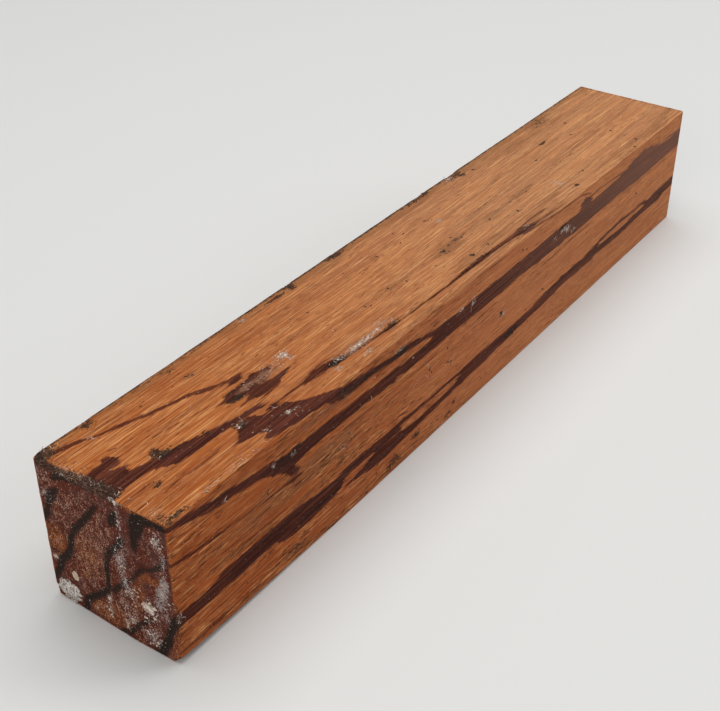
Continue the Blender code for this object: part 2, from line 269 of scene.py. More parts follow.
# Dark veins on the ends: (darkness, [(y, z, half width), ...])
NEAR_END_VEINS = [
    (1.0, [(1, 41.5, 0.6), (3.2, 38.7, 1), (5.5, 35, 1), (8, 32, 1.1), (11, 28.2, 1.1), (12.5, 25, 1),
        (13.2, 21.5, 1.2), (15, 18, 1.4), (17.6, 15, 1.2), (19.2, 12, 1.2), (20.6, 9, 1.1),
        (22.5, 6.4, 1.4)]),
    (0.9, [(-5.2, 42, 1.2), (-4.2, 39.3, 1.5), (-3.4, 38, 0.6)]),
    (1.0, [(-7, 35, 0.8), (-5.6, 32.5, 1.1), (-3.5, 30, 1.1), (-1.4, 27.5, 1), (-0.4, 25, 0.9),
        (0.1, 22, 0.9), (0.5, 18, 0.7), (0.3, 15, 0.8), (2.2, 12, 1.1), (5, 9.5, 1.1), (8, 6.6, 1.2),
        (10.2, 4.4, 1.3), (11.2, -1, 1.2)]),
    (0.9, [(-7, 21.4, 0.5), (-5, 18.8, 0.8), (-3, 16.6, 0.8), (-1, 14.2, 0.7)]),
    (1.0, [(-24, 45.4, 1.1), (-18.5, 45.6, 1), (-15, 45.3, 1.6), (-13, 43.8, 2.3), (-12, 41, 2.2),
        (-11.2, 37.5, 1.5), (-11, 34.4, 1), (-11.2, 32.6, 0.3)]),
    (0.7, [(-21.5, 35, 0.4), (-18, 31, 0.6), (-15.5, 29.3, 0.6), (-12.8, 28.3, 0.7), (-10, 24.5, 0.7),
        (-7.6, 21.2, 0.5)]),
    (1.0, [(-24, 17.8, 1.6), (-21.5, 13.6, 1.3), (-20, 10, 1.2), (-19, 6.4, 1.4), (-17.4, 3.4, 1.6),
        (-15, -1, 1.6)]),
    (0.8, [(15.4, 39.6, 0.9), (17.4, 37.2, 1.6), (19.2, 34.8, 1.5), (20.2, 32, 0.9), (20.6, 29.4, 1),
        (23.5, 27, 1.4)]),
    (0.8, [(-14, 12.2, 0.4), (-11.6, 9.4, 0.7), (-9.4, 7.2, 0.7), (-7.2, 4.4, 0.8), (-5.2, 1.8, 0.9),
        (-2.2, 1, 0.5)]),
    (0.7, [(7.6, 46.6, 0.9), (11, 45.6, 1), (14, 44.6, 1.1), (16.2, 43.2, 0.7)]),
    (0.5, [(16.5, 16.8, 0.2), (19, 17, 0.4), (22.5, 16.6, 0.4)]),
]
FAR_END_VEINS = [
    (1.0, [(-24, 36, 3.2), (-21, 33.6, 2.6), (-18.4, 29.8, 1.9), (-16.2, 25.4, 1.6), (-13.6, 20.6, 1.5),
        (-11.4, 15.4, 1.3), (-8.6, 9.2, 1.5), (-6.4, 4, 1.5), (-5.6, -1, 1.7)]),
    (1.0, [(-24, 17.4, 1.8), (-21, 14.2, 1.6), (-18.8, 9.6, 1.2), (-16.6, 4.6, 1.2), (-15.1, -1, 1.4)]),
    (0.8, [(6.4, 41.6, 0.4), (9.2, 38.4, 1), (13, 35.2, 1.2), (17.6, 31.4, 1.2), (24, 28.8, 1.5)]),
    (0.9, [(24, 12.2, 1.6), (20.4, 14.6, 1.3), (16.6, 18.8, 1.1), (13.6, 23.8, 1), (9, 28.6, 0.9),
        (5.4, 33.4, 0.6), (3.4, 37, 0.3)]),
    (0.6, [(-3.4, 30.6, 0.3), (-1.6, 26.4, 0.6), (0.2, 20.2, 0.7), (3.2, 14.2, 0.6), (6.4, 9.4, 0.3)]),
]

# Soft patches on the long faces: (x, across, reach along, reach across, strength)
TOP_GRIME = [
    (-130.2, -1.8, 1.6, 1.5, 1), (-128.8, -3.8, 2, 1.1, 0.9), (-125.5, -4.8, 1.6, 0.7, 0.5),
    (-117, -6.4, 1.6, 0.8, 0.6), (-138.6, -10.4, 1.2, 1, 0.7), (-147.5, 20.8, 3.8, 2.2, 0.8),
    (-132, 20.6, 2, 1.5, 0.7), (-101.5, 19.8, 1.6, 1.2, 0.5), (-55, 20.1, 4, 0.5, 0.8),
    (-47.4, 21, 1.6, 1.8, 1), (-24, 21.2, 3.5, 1.2, 0.8), (24, 21.3, 5.5, 1, 0.6),
    (29, 21.6, 1.6, 0.8, 0.8), (47, 20.6, 4, 1.6, 0.6), (49.5, 18.9, 1.6, 1.1, 0.7),
    (106, 18.8, 7, 2.6, 0.4), (0, 22.3, 160, 0.7, 0.72), (-109.5, -11.4, 1.6, 1.4, 0.8),
    (-98, -0.2, 6, 0.5, 0.6), (-101, -3.2, 3, 1.2, 0.7), (-72.5, -14.6, 2, 0.9, 0.9),
    (-62, -14.4, 1.2, 0.8, 0.7), (-47, -16.2, 3, 0.8, 0.7), (0, -17.6, 9, 0.9, 0.55),
    (90, 8.2, 2.6, 0.6, 0.8), (38, 0.4, 9, 0.5, 0.4), (80, -4.8, 14, 0.5, 0.4), (-25, 8.2, 2.2, 0.5, 0.5),
    (-2, -5.6, 2.2, 1, 0.45), (65.6, -18.4, 1.1, 0.7, 1), (7, -4.6, 2.4, 0.7, 0.4),
    (-31, -4.4, 2, 0.7, 0.3), (-104, 21.5, 30, 0.9, 0.35), (-148, -20.5, 2, 2.5, 0.5),
    (-144, -21.5, 2.6, 0.8, 0.7), (148.5, 2, 1.2, 30, 0.35),
]
FRONT_GRIME = [
    (-56.3, 2.8, 0.9, 1.2, 1), (-54.2, 4.6, 1.8, 0.5, 0.9), (-51.8, 3.2, 0.8, 0.9, 0.8),
    (-22.8, 2.2, 1.6, 1, 0.7), (-42, 6, 1.8, 0.7, 0.8), (-19.6, 5.6, 0.8, 0.9, 0.7), (-76, 44, 5, 1.2, 0.6),
    (-70, 42.8, 14, 1, 0.55), (-52, 42.2, 4, 1.1, 0.7), (-104, 38, 8, 1.4, 0.5), (-78, 15.2, 10, 0.9, 0.4),
    (-88, 12.2, 9, 1.5, 0.4), (66, 41.6, 2.2, 1.2, 0.3), (16, 13, 5, 1.5, 0.6), (49, 38.8, 3, 0.8, 0.6),
    (137, 16, 6, 1.6, 0.4), (8, 24.4, 0.9, 0.9, 0.8), (-42, 6.4, 2.6, 0.8, 0.5), (-101, 4.4, 4, 1.8, 0.45),
    # The last two patches on the next line lay faint dark lines along the bottom arris, where the billet
    # meets the floor
    (-149.6, 15, 2, 6, 0.7), (-60, 0.6, 90, 0.9, 0.15), (60, 0.4, 90, 0.7, 0.12),
]
TOP_DUST = [
    (-92.5, -2.2, 5, 1.6, 0.3), (-88, -1.8, 2.6, 2.2, 0.35), (-78, -0.4, 2, 1.2, 0.95),
    (-77.4, -3, 1.4, 0.8, 0.8), (-84, -2.6, 4, 2, 0.35), (-60, -14.5, 8, 0.9, 1),
    (-68, -14.2, 3.5, 0.8, 0.7), (-62.5, -19, 2.5, 1.1, 0.6), (-48.5, -12.8, 2.6, 1, 0.5),
    (-45.5, -15, 1.8, 0.9, 0.65), (-74, -16.8, 1.5, 1, 0.6), (-97.5, -18, 1.5, 1, 0.65),
    (-95, -18.6, 1.2, 0.5, 0.5), (-107, -18.6, 1.4, 0.7, 0.6), (-108, -11, 2.2, 1.2, 0.5),
    (62.4, -12.4, 2.2, 2.6, 0.55), (15, 6.8, 1.6, 0.8, 0.7), (-70.6, 20.2, 0.9, 1.1, 0.85),
    (22.6, -15, 1, 0.6, 0.5), (29, -19, 2.5, 0.8, 0.5), (42.5, 20.4, 2.4, 1.2, 0.6),
    (-125, -21.4, 14, 0.7, 0.5), (-146, -18, 2, 4, 0.35), (-147.5, 9, 1.5, 9, 0.5),
    (-135, 15.2, 0.6, 0.9, 0.7), (90, -22.4, 3, 0.5, 0.45), (-50, -21.6, 9, 0.4, 0.4),
]
FRONT_DUST = [
    (43, 36.4, 1.6, 1, 0.5), (50, 37.3, 2.8, 0.9, 0.7), (52.5, 36.5, 1.6, 0.8, 0.7),
    (54, 34.9, 1.8, 0.6, 0.7), (57, 34, 1.2, 0.6, 0.8), (-17.5, 39, 2.2, 0.7, 0.6),
    (-128.4, 40.4, 0.6, 0.6, 0.5), (9.5, 24, 1.8, 1.1, 0.6), (-101.5, 37.4, 1, 0.7, 0.6),
    (-109.5, 39, 1.2, 0.8, 0.5), (-51, 42.8, 3, 0.7, 0.5), (-42, 40.6, 2, 0.5, 0.5),
    (63, 42.6, 2.4, 0.8, 0.5), (-148.2, 16, 0.7, 1.8, 0.7), (-80, 26, 6, 2, 0.35),
]
# Tan wood dust: the same form
TOP_TAN = [
    (-95.5, -2, 3.5, 1, 0.75), (-88.5, -2.6, 4, 1.4, 0.85), (-84, -3.6, 3, 1, 0.5),
    (-82, -1.6, 3, 1.6, 0.45), (-62, -13.6, 5, 1.2, 0.5), (-48, -14, 4, 1.6, 0.45), (-146, -8.5, 3, 2, 0.3),
]
FRONT_TAN = [
    (-80, 30, 24, 2.4, 0.35), (52, 36, 5, 1.6, 0.3), (-90, 42.2, 16, 1.6, 0.42),
]
# Dull brown stains: the same form
TOP_STAIN = [
    (3, -5.2, 7, 2.2, 0.95), (-30, -4.8, 6, 1.4, 0.8), (14, -14.6, 10, 1.2, 0.7), (-2, -15.2, 6, 1.6, 0.8),
    (28, -6, 6, 1.6, 0.6), (48, -5, 7, 2, 0.6), (26, -19, 6, 1.6, 1), (36, -18, 5, 1.2, 0.7),
    (0, 21.2, 160, 1.8, 1), (70, 20.2, 100, 1.6, 0.7), (128, 19.6, 24, 2, 0.4), (-140, 21, 12, 1.2, 0.9),
    (60, 19, 90, 1.6, 0.45), (62, 8, 30, 4, 0.3), (40, -15, 30, 1.4, 0.5), (100, -3, 30, 2, 0.3),
    (-20, -21.8, 60, 0.8, 0.6), (20, -21, 50, 1.6, 0.5), (-90, 20.5, 60, 2, 0.6), (20, 20, 120, 1.8, 0.45),
    (-125, 19.5, 20, 2, 0.5), (-30, 18.5, 12, 1.8, 0.45), (120, -19.5, 40, 2.6, 0.5),
    (85, -19, 20, 1.4, 0.4), (95, 17, 26, 2.4, 0.5), (85, 9, 12, 2.2, 0.35), (105, 21, 60, 1.8, 0.8),
    (60, 16.5, 18, 1.6, 0.4), (30, -1, 14, 1, 0.3), (-100, 14, 2, 2, 0.3),
]
FRONT_STAIN = [
    (-100, 27.5, 26, 3.6, 0.9), (-119, 27, 4, 1.8, 1), (-82, 29, 16, 3, 0.5), (-53, 2.6, 3.6, 1.7, 0.8),
    (-75, 22, 12, 2.4, 0.5), (-88, 43.5, 10, 1.6, 0.4), (-102, 4.5, 4, 1.8, 0.8), (-104, 28, 32, 2.8, 0.7),
    (-100, 44, 34, 1.8, 0.38), (-72, 26.5, 26, 4, 0.38), (-140, 29, 14, 3, 0.4), (-77, 27.6, 5, 3, 0.6),
    (-60, 2.2, 50, 1.6, 0.4), (-132, 3, 22, 2.6, 0.45), (-122, 21, 14, 1.2, 0.7), (-98, 19.6, 10, 1.2, 0.6),
    (-140, 11.8, 9, 0.8, 0.5),
]
# Warmer, more orange wood: the same form
TOP_WARM = [
    (-118, -14, 30, 5, 0.5), (-75, -20, 40, 4, 0.5), (10, -21, 60, 3, 0.5), (30, 14, 60, 6, 0.35),
    (-60, -5, 30, 4, 0.4), (-110, 1, 12, 2, 0.5), (60, -6, 60, 5, 0.35),
]
FRONT_WARM = [
    (-110, 6, 60, 7, 0.8), (0, 4, 110, 5, 0.65), (100, 9, 60, 6, 0.8), (-125, 22, 20, 3, 0.6),
    (60, 24, 60, 5, 0.5), (-20, 21, 50, 3, 0.5), (-135, 36, 16, 3, 0.5),
]

# Patches on the near end: (y, z, reach in y, reach in z, strength)
END_FILM = [
    (-19.8, 26.5, 1.4, 2.4, 0.8), (-18.6, 22.5, 1.7, 2.6, 0.85), (-17.8, 19, 1.9, 2, 0.7),
    (-19.4, 15.5, 1.1, 2.4, 0.5), (-13.5, 15.3, 1.3, 1.4, 1), (-5.2, 26.5, 1.8, 3.6, 0.6),
    (-6.2, 19.5, 1.6, 2.6, 0.5), (-20.3, 34, 0.9, 2.4, 0.5), (-5.6, 46.7, 2, 0.7, 0.9),
    (-13.6, 4.6, 2.2, 2.2, 0.42), (20.8, 14.2, 0.8, 0.7, 0.8), (-6.8, 42, 0.8, 4, 0.4),
    (-18.4, 39.8, 1.2, 2, 0.45), (20.6, 36, 1, 1.6, 0.5),
]
# White grains of sealer on the near end: the same form
END_GRAINS = [
    (-6.6, 43, 1, 5, 0.4), (-6.6, 34, 1.1, 5, 0.4), (-5.4, 27, 2, 5, 0.4), (-6.2, 19, 2.2, 4, 0.45),
    (-7.6, 17, 1.8, 3, 0.55), (-4.2, 12.6, 1.2, 3.6, 0.55), (-6.8, 10, 1.4, 4, 0.45),
    (-4.6, 5, 1.2, 2.6, 0.65), (0.8, 10.4, 0.9, 1.2, 0.85), (1.4, 6.2, 1.2, 2.8, 0.6),
    (-18.4, 39.8, 1.8, 2.8, 0.65), (-20.3, 34, 1, 3, 0.5), (-13.4, 5.2, 2.8, 2.6, 0.7),
    (-12.6, 3, 1.6, 1.6, 0.5), (-6.8, 7.4, 1, 1, 0.7), (-9, 26.8, 0.9, 0.9, 0.6),
    (-12.4, 11.4, 1.2, 1.4, 0.5), (20.6, 14.2, 0.9, 0.8, 0.8), (19.4, 36, 2, 3, 0.4), (21, 36, 1, 1.4, 0.5),
    (6.4, 4, 0.9, 0.9, 0.5), (12, 46.6, 2.6, 0.8, 0.5), (20.5, 42, 2, 4, 0.3), (-16, 11, 3, 3, 0.2),
    (5, 3, 5, 2, 0.28), (-13.5, 15.3, 2.2, 2.4, 0.6), (-17, 36, 3, 6, 0.15), (-18, 21, 4, 8, 0.15),
]
# Warmer wood and pale granules on the near end: the same form
END_WARM = [
    (19, 21, 3.6, 4, 1), (-10, 19, 2.6, 8, 0.55), (-14.5, 25.8, 4, 1.8, 0.7), (2, 4.6, 8, 3.4, 0.75),
    (7.5, 22.5, 5, 6, 0.55), (11, 15.5, 4, 3, 0.5), (4, 33, 5, 6, 0.25), (-22.4, 4, 3, 6, 0.6),
    (-10, 46.6, 4, 1.2, 0.9),
]
END_SPECKLE = [
    (19, 21, 4, 4.5, 0.6), (3.5, 28, 6, 10, 0.9), (6.5, 22, 6, 6, 1), (9, 36, 5, 4, 0.8),
    (15, 34, 4, 5, 0.6), (-4, 9, 7, 6, 0.7), (4, 5, 7, 4, 0.6), (7, 14, 6, 5, 0.5), (-13, 5, 6, 4, 0.6),
    (18, 42, 4, 4, 0.5), (-16, 37, 4, 5, 0.3),
]

# Small things on the surface, by face. Fibres: (two places, two reaches, count, length, lean from the grain)
PALE_FIBRES = [
    ("top", [
        (-98, -14.2, 0.8, 0.5, 2, 1.2, 1.2), (-103, -17, 8, 3, 5, 0.5, 0.2),
        (-78, -0.4, 2.2, 1.6, 34, 1.2, 0.6), (-77.4, -3, 1.6, 0.9, 10, 0.9, 0.6),
        (-84, -2, 5, 3, 12, 1, 0.4), (-93, -2.4, 6, 2.2, 10, 0.8, 0.2), (-60, -14.5, 11, 0.9, 60, 1, 0.1),
        (-67, -14.2, 6, 0.8, 16, 0.9, 0.1), (-62.5, -19, 2.6, 1.2, 12, 0.8, 0.4),
        (-48.5, -12.6, 3, 1.4, 12, 0.8, 0.5), (-45.5, -15, 2, 0.9, 9, 0.8, 0.3),
        (-74, -16.7, 1.6, 1, 10, 0.7, 0.8), (-97.5, -18, 1.8, 1, 9, 0.8, 0.4),
        (-107, -18.8, 1.8, 1, 7, 0.7, 0.4), (-108.5, -11, 2.4, 1.6, 10, 0.7, 0.8),
        (-130, -3, 3, 2, 8, 0.7, 0.8), (-124, -21.6, 26, 0.8, 20, 0.8, 0.1),
        (-146.5, -17, 2.6, 8, 10, 0.9, 0.3), (-147.2, 1, 2, 8, 12, 1.1, 1.3),
        (-148.6, 11, 1.2, 6, 7, 1.3, 1.3), (-146, 20.8, 4, 1.8, 8, 0.9, 0.8),
        (43.4, 20.8, 2.4, 1.2, 9, 1.6, 0.5), (15, 6.8, 1.6, 0.8, 6, 1.2, 0.2),
        (-70.5, 20.2, 0.8, 1, 7, 0.8, 0.8), (-135, 15.3, 0.6, 1, 5, 0.7, 1.2),
        (-95, 17, 90, 14, 10, 0.7, 0), (20, 0, 160, 30, 16, 0.9, 0), (62.5, -12.5, 2.6, 3.4, 7, 1.2, 0),
    ]),
    ("front", [
        (50.4, 37.2, 3.6, 0.9, 9, 1.1, 0.2), (53, 36, 2, 1.2, 8, 1.1, 0.4), (43, 36.4, 1.8, 1.2, 6, 1, 0.6),
        (57, 34, 1.4, 0.6, 5, 1, 0.4), (-128.4, 40.5, 0.3, 0.9, 6, 1.3, 1.2),
        (-66, 34.7, 0.2, 0.6, 3, 0.9, 1.4), (-45, 36.4, 0.4, 0.4, 2, 0.9, -0.5),
        (-101.5, 37.4, 1.4, 0.8, 6, 0.7, 0.8), (-109.5, 39, 1.2, 0.7, 6, 0.7, 0.8),
        (-147.4, 16, 0.8, 2.4, 12, 0.8, 1.2), (-51, 42.8, 3.6, 0.8, 10, 0.7, 0.3),
        (9.6, 23.8, 1.6, 1.2, 6, 0.9, 0.5), (-24, 22.8, 2.2, 0.9, 5, 0.8, 0.5),
        (-100, 40, 90, 0.8, 8, 0.6, 0.3), (-10.3, 38.4, 0.8, 0.5, 8, 2.8, -0.65),
        (-42.4, 26.4, 0.3, 0.5, 3, 2.2, -1.1), (-36.4, 27.5, 1.8, 3.6, 4, 2.2, -1),
    ]),
    ("near", [
        (-13.4, 15.3, 1.7, 1.6, 44, 0.9, 0.7), (-5.6, 46.4, 2.4, 0.9, 18, 1, 0.3),
        (-18.4, 39.6, 1.6, 2.6, 22, 0.9, 1.6), (0.9, 10.3, 0.9, 1, 10, 0.8, 0.8),
        (1.3, 6, 0.9, 2.8, 12, 0.8, 1.2), (-4.6, 4.8, 1, 2.6, 14, 0.8, 1.2), (-6.8, 7.4, 1, 1, 8, 0.7, 0.8),
        (-4.6, 12.6, 1, 3.6, 12, 0.7, 1.4), (-7, 18, 2.4, 3.4, 20, 0.7, 1),
        (-13.5, 5, 3.4, 2.6, 26, 0.7, 0.8), (-12.6, 10.4, 2, 1, 8, 0.8, -0.6),
        (-20.2, 34, 0.9, 3.4, 12, 0.7, 1.4), (-18.6, 21.5, 3.6, 8, 26, 0.6, 0.8),
        (-6, 27, 2, 9, 22, 0.6, 1.4), (20.6, 14.2, 0.7, 0.7, 6, 0.6, 0.8), (12, 46.4, 3, 0.7, 10, 1, 0.2),
        (20.6, 36, 1.4, 2.4, 8, 0.6, 0.8), (0, 20, 30, 30, 50, 0.45, 0.8),
    ]),
]
TORN_FIBRES = [
    ("top", [
        (-147.4, 1.5, 2.2, 8, 70, 2, 1.35), (-148.6, 12, 1.4, 8, 46, 2, 1.35),
        (-147, 20.4, 3.6, 2.2, 40, 1.6, 0.9),
    ]),
    ("near", [
        (4, 46.2, 14, 0.8, 34, 2, 0.1), (14, 45.8, 8, 1, 24, 1.6, 0.1),
    ]),
    ("top", [
        (-60, 21.9, 90, 0.4, 16, 1.2, 0.05), (45, 21.2, 8, 1.2, 20, 1.6, 0.4),
        (-24, 21.8, 4, 0.6, 6, 1, 0.3), (25, 21.6, 8, 0.8, 10, 1.2, 0.2), (110, 21.9, 40, 0.4, 6, 1.2, 0.1),
        (-149, -14, 0.8, 12, 12, 0.8, 1.35), (-147, -21.6, 4, 0.8, 14, 1, 0.3),
    ]),
]
# Crumbs: (two places, two reaches, count, size)
PALE_CRUMBS = [
    ("near", [
        (-13.4, 15.3, 1.8, 2.1, 46, 0.42), (-5.4, 46.6, 2.4, 0.8, 14, 0.28), (0.9, 10.4, 0.7, 0.9, 6, 0.28),
        (1.3, 6, 0.7, 2.6, 9, 0.22), (-4.6, 5, 0.8, 2.4, 10, 0.22), (-6.9, 7.2, 0.9, 1, 6, 0.25),
        (-18.4, 39.6, 1.6, 2.4, 14, 0.22), (-9.4, 20, 1.4, 1.8, 8, 0.2), (-7.5, 17, 2.2, 2.6, 14, 0.2),
        (-12.4, 11.2, 1.4, 1.8, 8, 0.22), (20.6, 14.2, 0.6, 0.6, 5, 0.24), (-5.6, 27, 2, 6, 14, 0.18),
        (-19, 24, 2, 6, 8, 0.18), (-13, 4.6, 2.6, 2.4, 16, 0.2), (-6.6, 40, 0.9, 7, 16, 0.18),
    ]),
    ("top", [
        (-78, -0.4, 1.8, 1.3, 16, 0.22), (-60, -14.5, 9, 0.7, 26, 0.2), (43.4, 20.6, 1.6, 0.8, 5, 0.24),
    ]),
    ("front", [
        (50.4, 37.2, 3, 0.7, 6, 0.2), (-17, 39, 1.6, 0.4, 6, 0.22),
    ]),
    ("top", [
        (-110, -11.2, 1.6, 1.4, 8, 0.18), (-97.5, -18, 1.2, 0.7, 6, 0.2),
    ]),
]
DARK_CRUMBS = [
    ("top", [
        (-130.4, -1.6, 2, 1.5, 22, 0.22), (-128.6, -3.8, 2.4, 1.2, 18, 0.22), (-125, -5, 2.4, 0.8, 7, 0.18),
        (-147, 20.6, 4, 2.2, 22, 0.22), (-132, 20.8, 2.2, 1.2, 10, 0.24), (-47.4, 21.2, 1.8, 1.6, 18, 0.28),
        (29, 21.4, 2.4, 1, 12, 0.28), (46.5, 20.4, 5, 1.6, 14, 0.24), (-24, 21.3, 3.6, 1, 12, 0.24),
        (22, 21, 5, 1.2, 10, 0.24), (-148, 4, 1.6, 14, 22, 0.22), (-93, -2.4, 6, 2, 22, 0.18),
        (-47, -15.8, 3.4, 1.4, 10, 0.22), (-62, -14.4, 10, 1, 12, 0.2), (-144, -21.4, 4, 1.2, 16, 0.24),
        (-138.6, -10.4, 1.4, 1.2, 8, 0.24), (-109.6, -11.4, 2.2, 1.6, 12, 0.22),
        (-30, -4.8, 8, 1.4, 8, 0.16), (4, -5, 9, 1.6, 9, 0.16),
    ]),
    ("front", [
        (-149, 14.6, 1.2, 5, 12, 0.24), (8.2, 24.6, 1, 1, 6, 0.26),
    ]),
    ("near", [
        (4, 45.8, 16, 1.4, 12, 0.22),
    ]),
]
# Flat spots: (two places, size)
DARK_SPOTS = [
    ("top", [
        (1.5, -14.3, 0.9), (-2, -5.5, 0.9), (2.5, -4.7, 0.5), (6.5, -4.5, 0.5), (7.2, -2.5, 0.45),
        (9.5, -5.3, 0.5), (12, 10.5, 0.6), (0.5, 11.3, 0.5), (-1.5, 14.2, 0.4), (-5, 8.7, 0.35),
        (-17, 9.7, 0.5), (-31.5, 12.3, 0.3), (-56, 7.3, 0.4), (-43.5, -4.3, 0.4), (-42, -5.5, 0.35),
        (-31, -4, 0.45), (-24, -6.3, 0.45), (-11, -8.4, 0.35), (25.5, -6.5, 0.5), (40.5, -6, 0.35),
        (51, -6.3, 0.4), (36.5, -11, 0.6), (10.5, -14.8, 0.45), (75, 3, 0.5), (90, 8.2, 0.7),
        (103, 3.2, 0.55), (115, -7.5, 0.6), (113.5, -18.5, 0.8), (107, -21, 0.6), (77, -14.8, 0.5),
        (55, 17.8, 0.6), (111.5, 10.2, 0.5), (-118, 15, 0.35), (-101, 14.5, 0.45), (-99.5, 13.5, 0.55),
        (-134, -22, 0.4),
    ]),
    ("front", [
        (-122.5, 8, 0.3), (37.5, 19.5, 0.6), (28, 11, 0.4), (-19.5, 5.6, 0.6), (-41, 5.6, 0.8),
        (69, 5.5, 0.4), (111.5, 26, 0.7), (20, 42.8, 0.5), (23, 41.8, 0.45), (-25, 29, 0.4),
        (-24.7, 23.6, 0.5), (-22.6, 22.8, 0.45), (-35.2, 26.6, 0.5), (-34, 25.2, 0.4), (-63, 5.1, 0.4),
        (-48, 6.5, 0.4), (-29.5, 4.4, 0.35), (-42.5, 1.8, 0.4), (-104, 5, 0.5), (-101.8, 4.3, 0.5),
        (-98, 7.8, 0.4), (-88.3, 9.6, 0.35), (-81, 8, 0.4), (-112.5, 31.6, 0.4), (-79.5, 2.6, 0.45),
        (-68, 1.2, 0.5), (-2.8, 5, 0.35), (0.6, 5.2, 0.35), (26, 17, 0.35), (69, 27.5, 0.35),
        (-76.4, 28.4, 0.4), (-74.2, 26.2, 0.4), (-78, 24.6, 0.35),
    ]),
]

# How the small things are made: shares of thickness along a fibre, and (reach, height) up a crumb
FIBRE_TAPER = np.array((0.8, 1, 0.8, 0.35))
FIBRE_CLEARANCE = 0.04
CRUMB_SIDES = 9
CRUMB_LEVELS = ((1, -0.05), (0.75, 0.7), (0.35, 1))
SPOT_HEIGHT = 0.05
FIBRE_THICKNESS = (0.07, 0.16)
FIBRE_BEND = 0.22
FIBRE_LIFT = 0.1
SIZE_SPREAD = (0.5, 1.3)
# A direction that no fibre follows, and how far outside the wood the rays start that find its surface
ASKEW = (0.31, 0.17, 0.93)
RAY_LEAD = 5.0
# How far the clots of sealer stand out of the end at most, and clear of the ground at least
SEALER_PROUD = 0.45
SEALER_CLEARANCE = 0.02

# The camera of the photograph: its place in metres, the way it looks, and its lens in millimetres
CAMERA_PLACE = (-0.29625, -0.18193, 0.23832)
CAMERA_DIRECTION = (0.6753, 0.4796, -0.5603)
LENS = 61.04
SENSOR_WIDTH = 36.0

# The faces, as the points of the billet are marked, and depths that mean well inside and well outside
NEAR_END, LONG_FACE, FAR_END = -1, 0, 1
DEEP = 9.0
OUTSIDE = -9.0
# Depths in a vein are kept up to this far from its edge, and its edge is ragged by this much
VEIN_DEPTH_KEPT = 3
VEIN_RAGGED = 0.25
# How far the front's look fades in over the arris, and how deep carved wood is fully weathered
FRONT_FADE = 0.8
WORN_DEPTH = 1.2


class Noise:
    """Smooth random noise in three dimensions, about -1 to 1, the same on each run."""

    gain = 1.6

    def __init__(self, seed):
        rng = np.random.default_rng(seed)
        self.table = rng.permutation(256)
        slopes = rng.normal(size=(256, 3))
        self.slopes = slopes / np.linalg.norm(slopes, axis=1, keepdims=True)

    def __call__(self, points, scale):
        """scale is the size of a cell along X, Y and Z, in the unit of the points."""
        place = points / np.asarray(scale, float)
        cell = np.floor(place).astype(int)
        inside = place - cell
        fade = inside**3 * (inside * (inside * 6 - 15) + 10)
        total = np.zeros(len(points))
        for corner in np.ndindex(2, 2, 2):
            at = (cell + corner) & 255
            key = self.table[(self.table[(self.table[at[:, 0]] + at[:, 1]) & 255] + at[:, 2]) & 255]
            weight = np.prod(np.where(corner, fade, 1 - fade), axis=1)
            total += weight * np.einsum("ij,ij->i", self.slopes[key], inside - corner)
        return total * self.gain


coarse_noise = Noise(3)
fine_noise = Noise(11)


def near_end_x(y):
    """Where the worn end lies at this Y: furthest out on the ridge."""
    reach = np.where(y > RIDGE_Y, HALF_WIDTH - RIDGE_Y, HALF_WIDTH + RIDGE_Y)
    return -HALF_LENGTH + RIDGE_RISE * np.abs(y - RIDGE_Y) / reach


# Places across a long face, counted as one coordinate that runs on over the arrises: it is y on top, and
# falls from there down the front, back along the underside and up the back
def on_top(y):
    return y


def on_front(z):
    return -HALF_WIDTH - (HEIGHT - z)


def on_underside(y):
    return -HALF_WIDTH - HEIGHT - (y + HALF_WIDTH)


def on_back(z):
    return -HALF_WIDTH - HEIGHT - WIDTH - z


GIRTH = 2 * (WIDTH + HEIGHT)


def graded(cells, length, low_band, low_cells, high_band, high_cells):
    """Places from 0 to length, closer together in a band at each end."""
    middle = cells - low_cells - high_cells
    return np.concatenate(
        [
            np.linspace(0, low_band, low_cells, endpoint=False),
            np.linspace(low_band, length - high_band, middle, endpoint=False),
            np.linspace(length - high_band, length, high_cells + 1),
        ]
    )


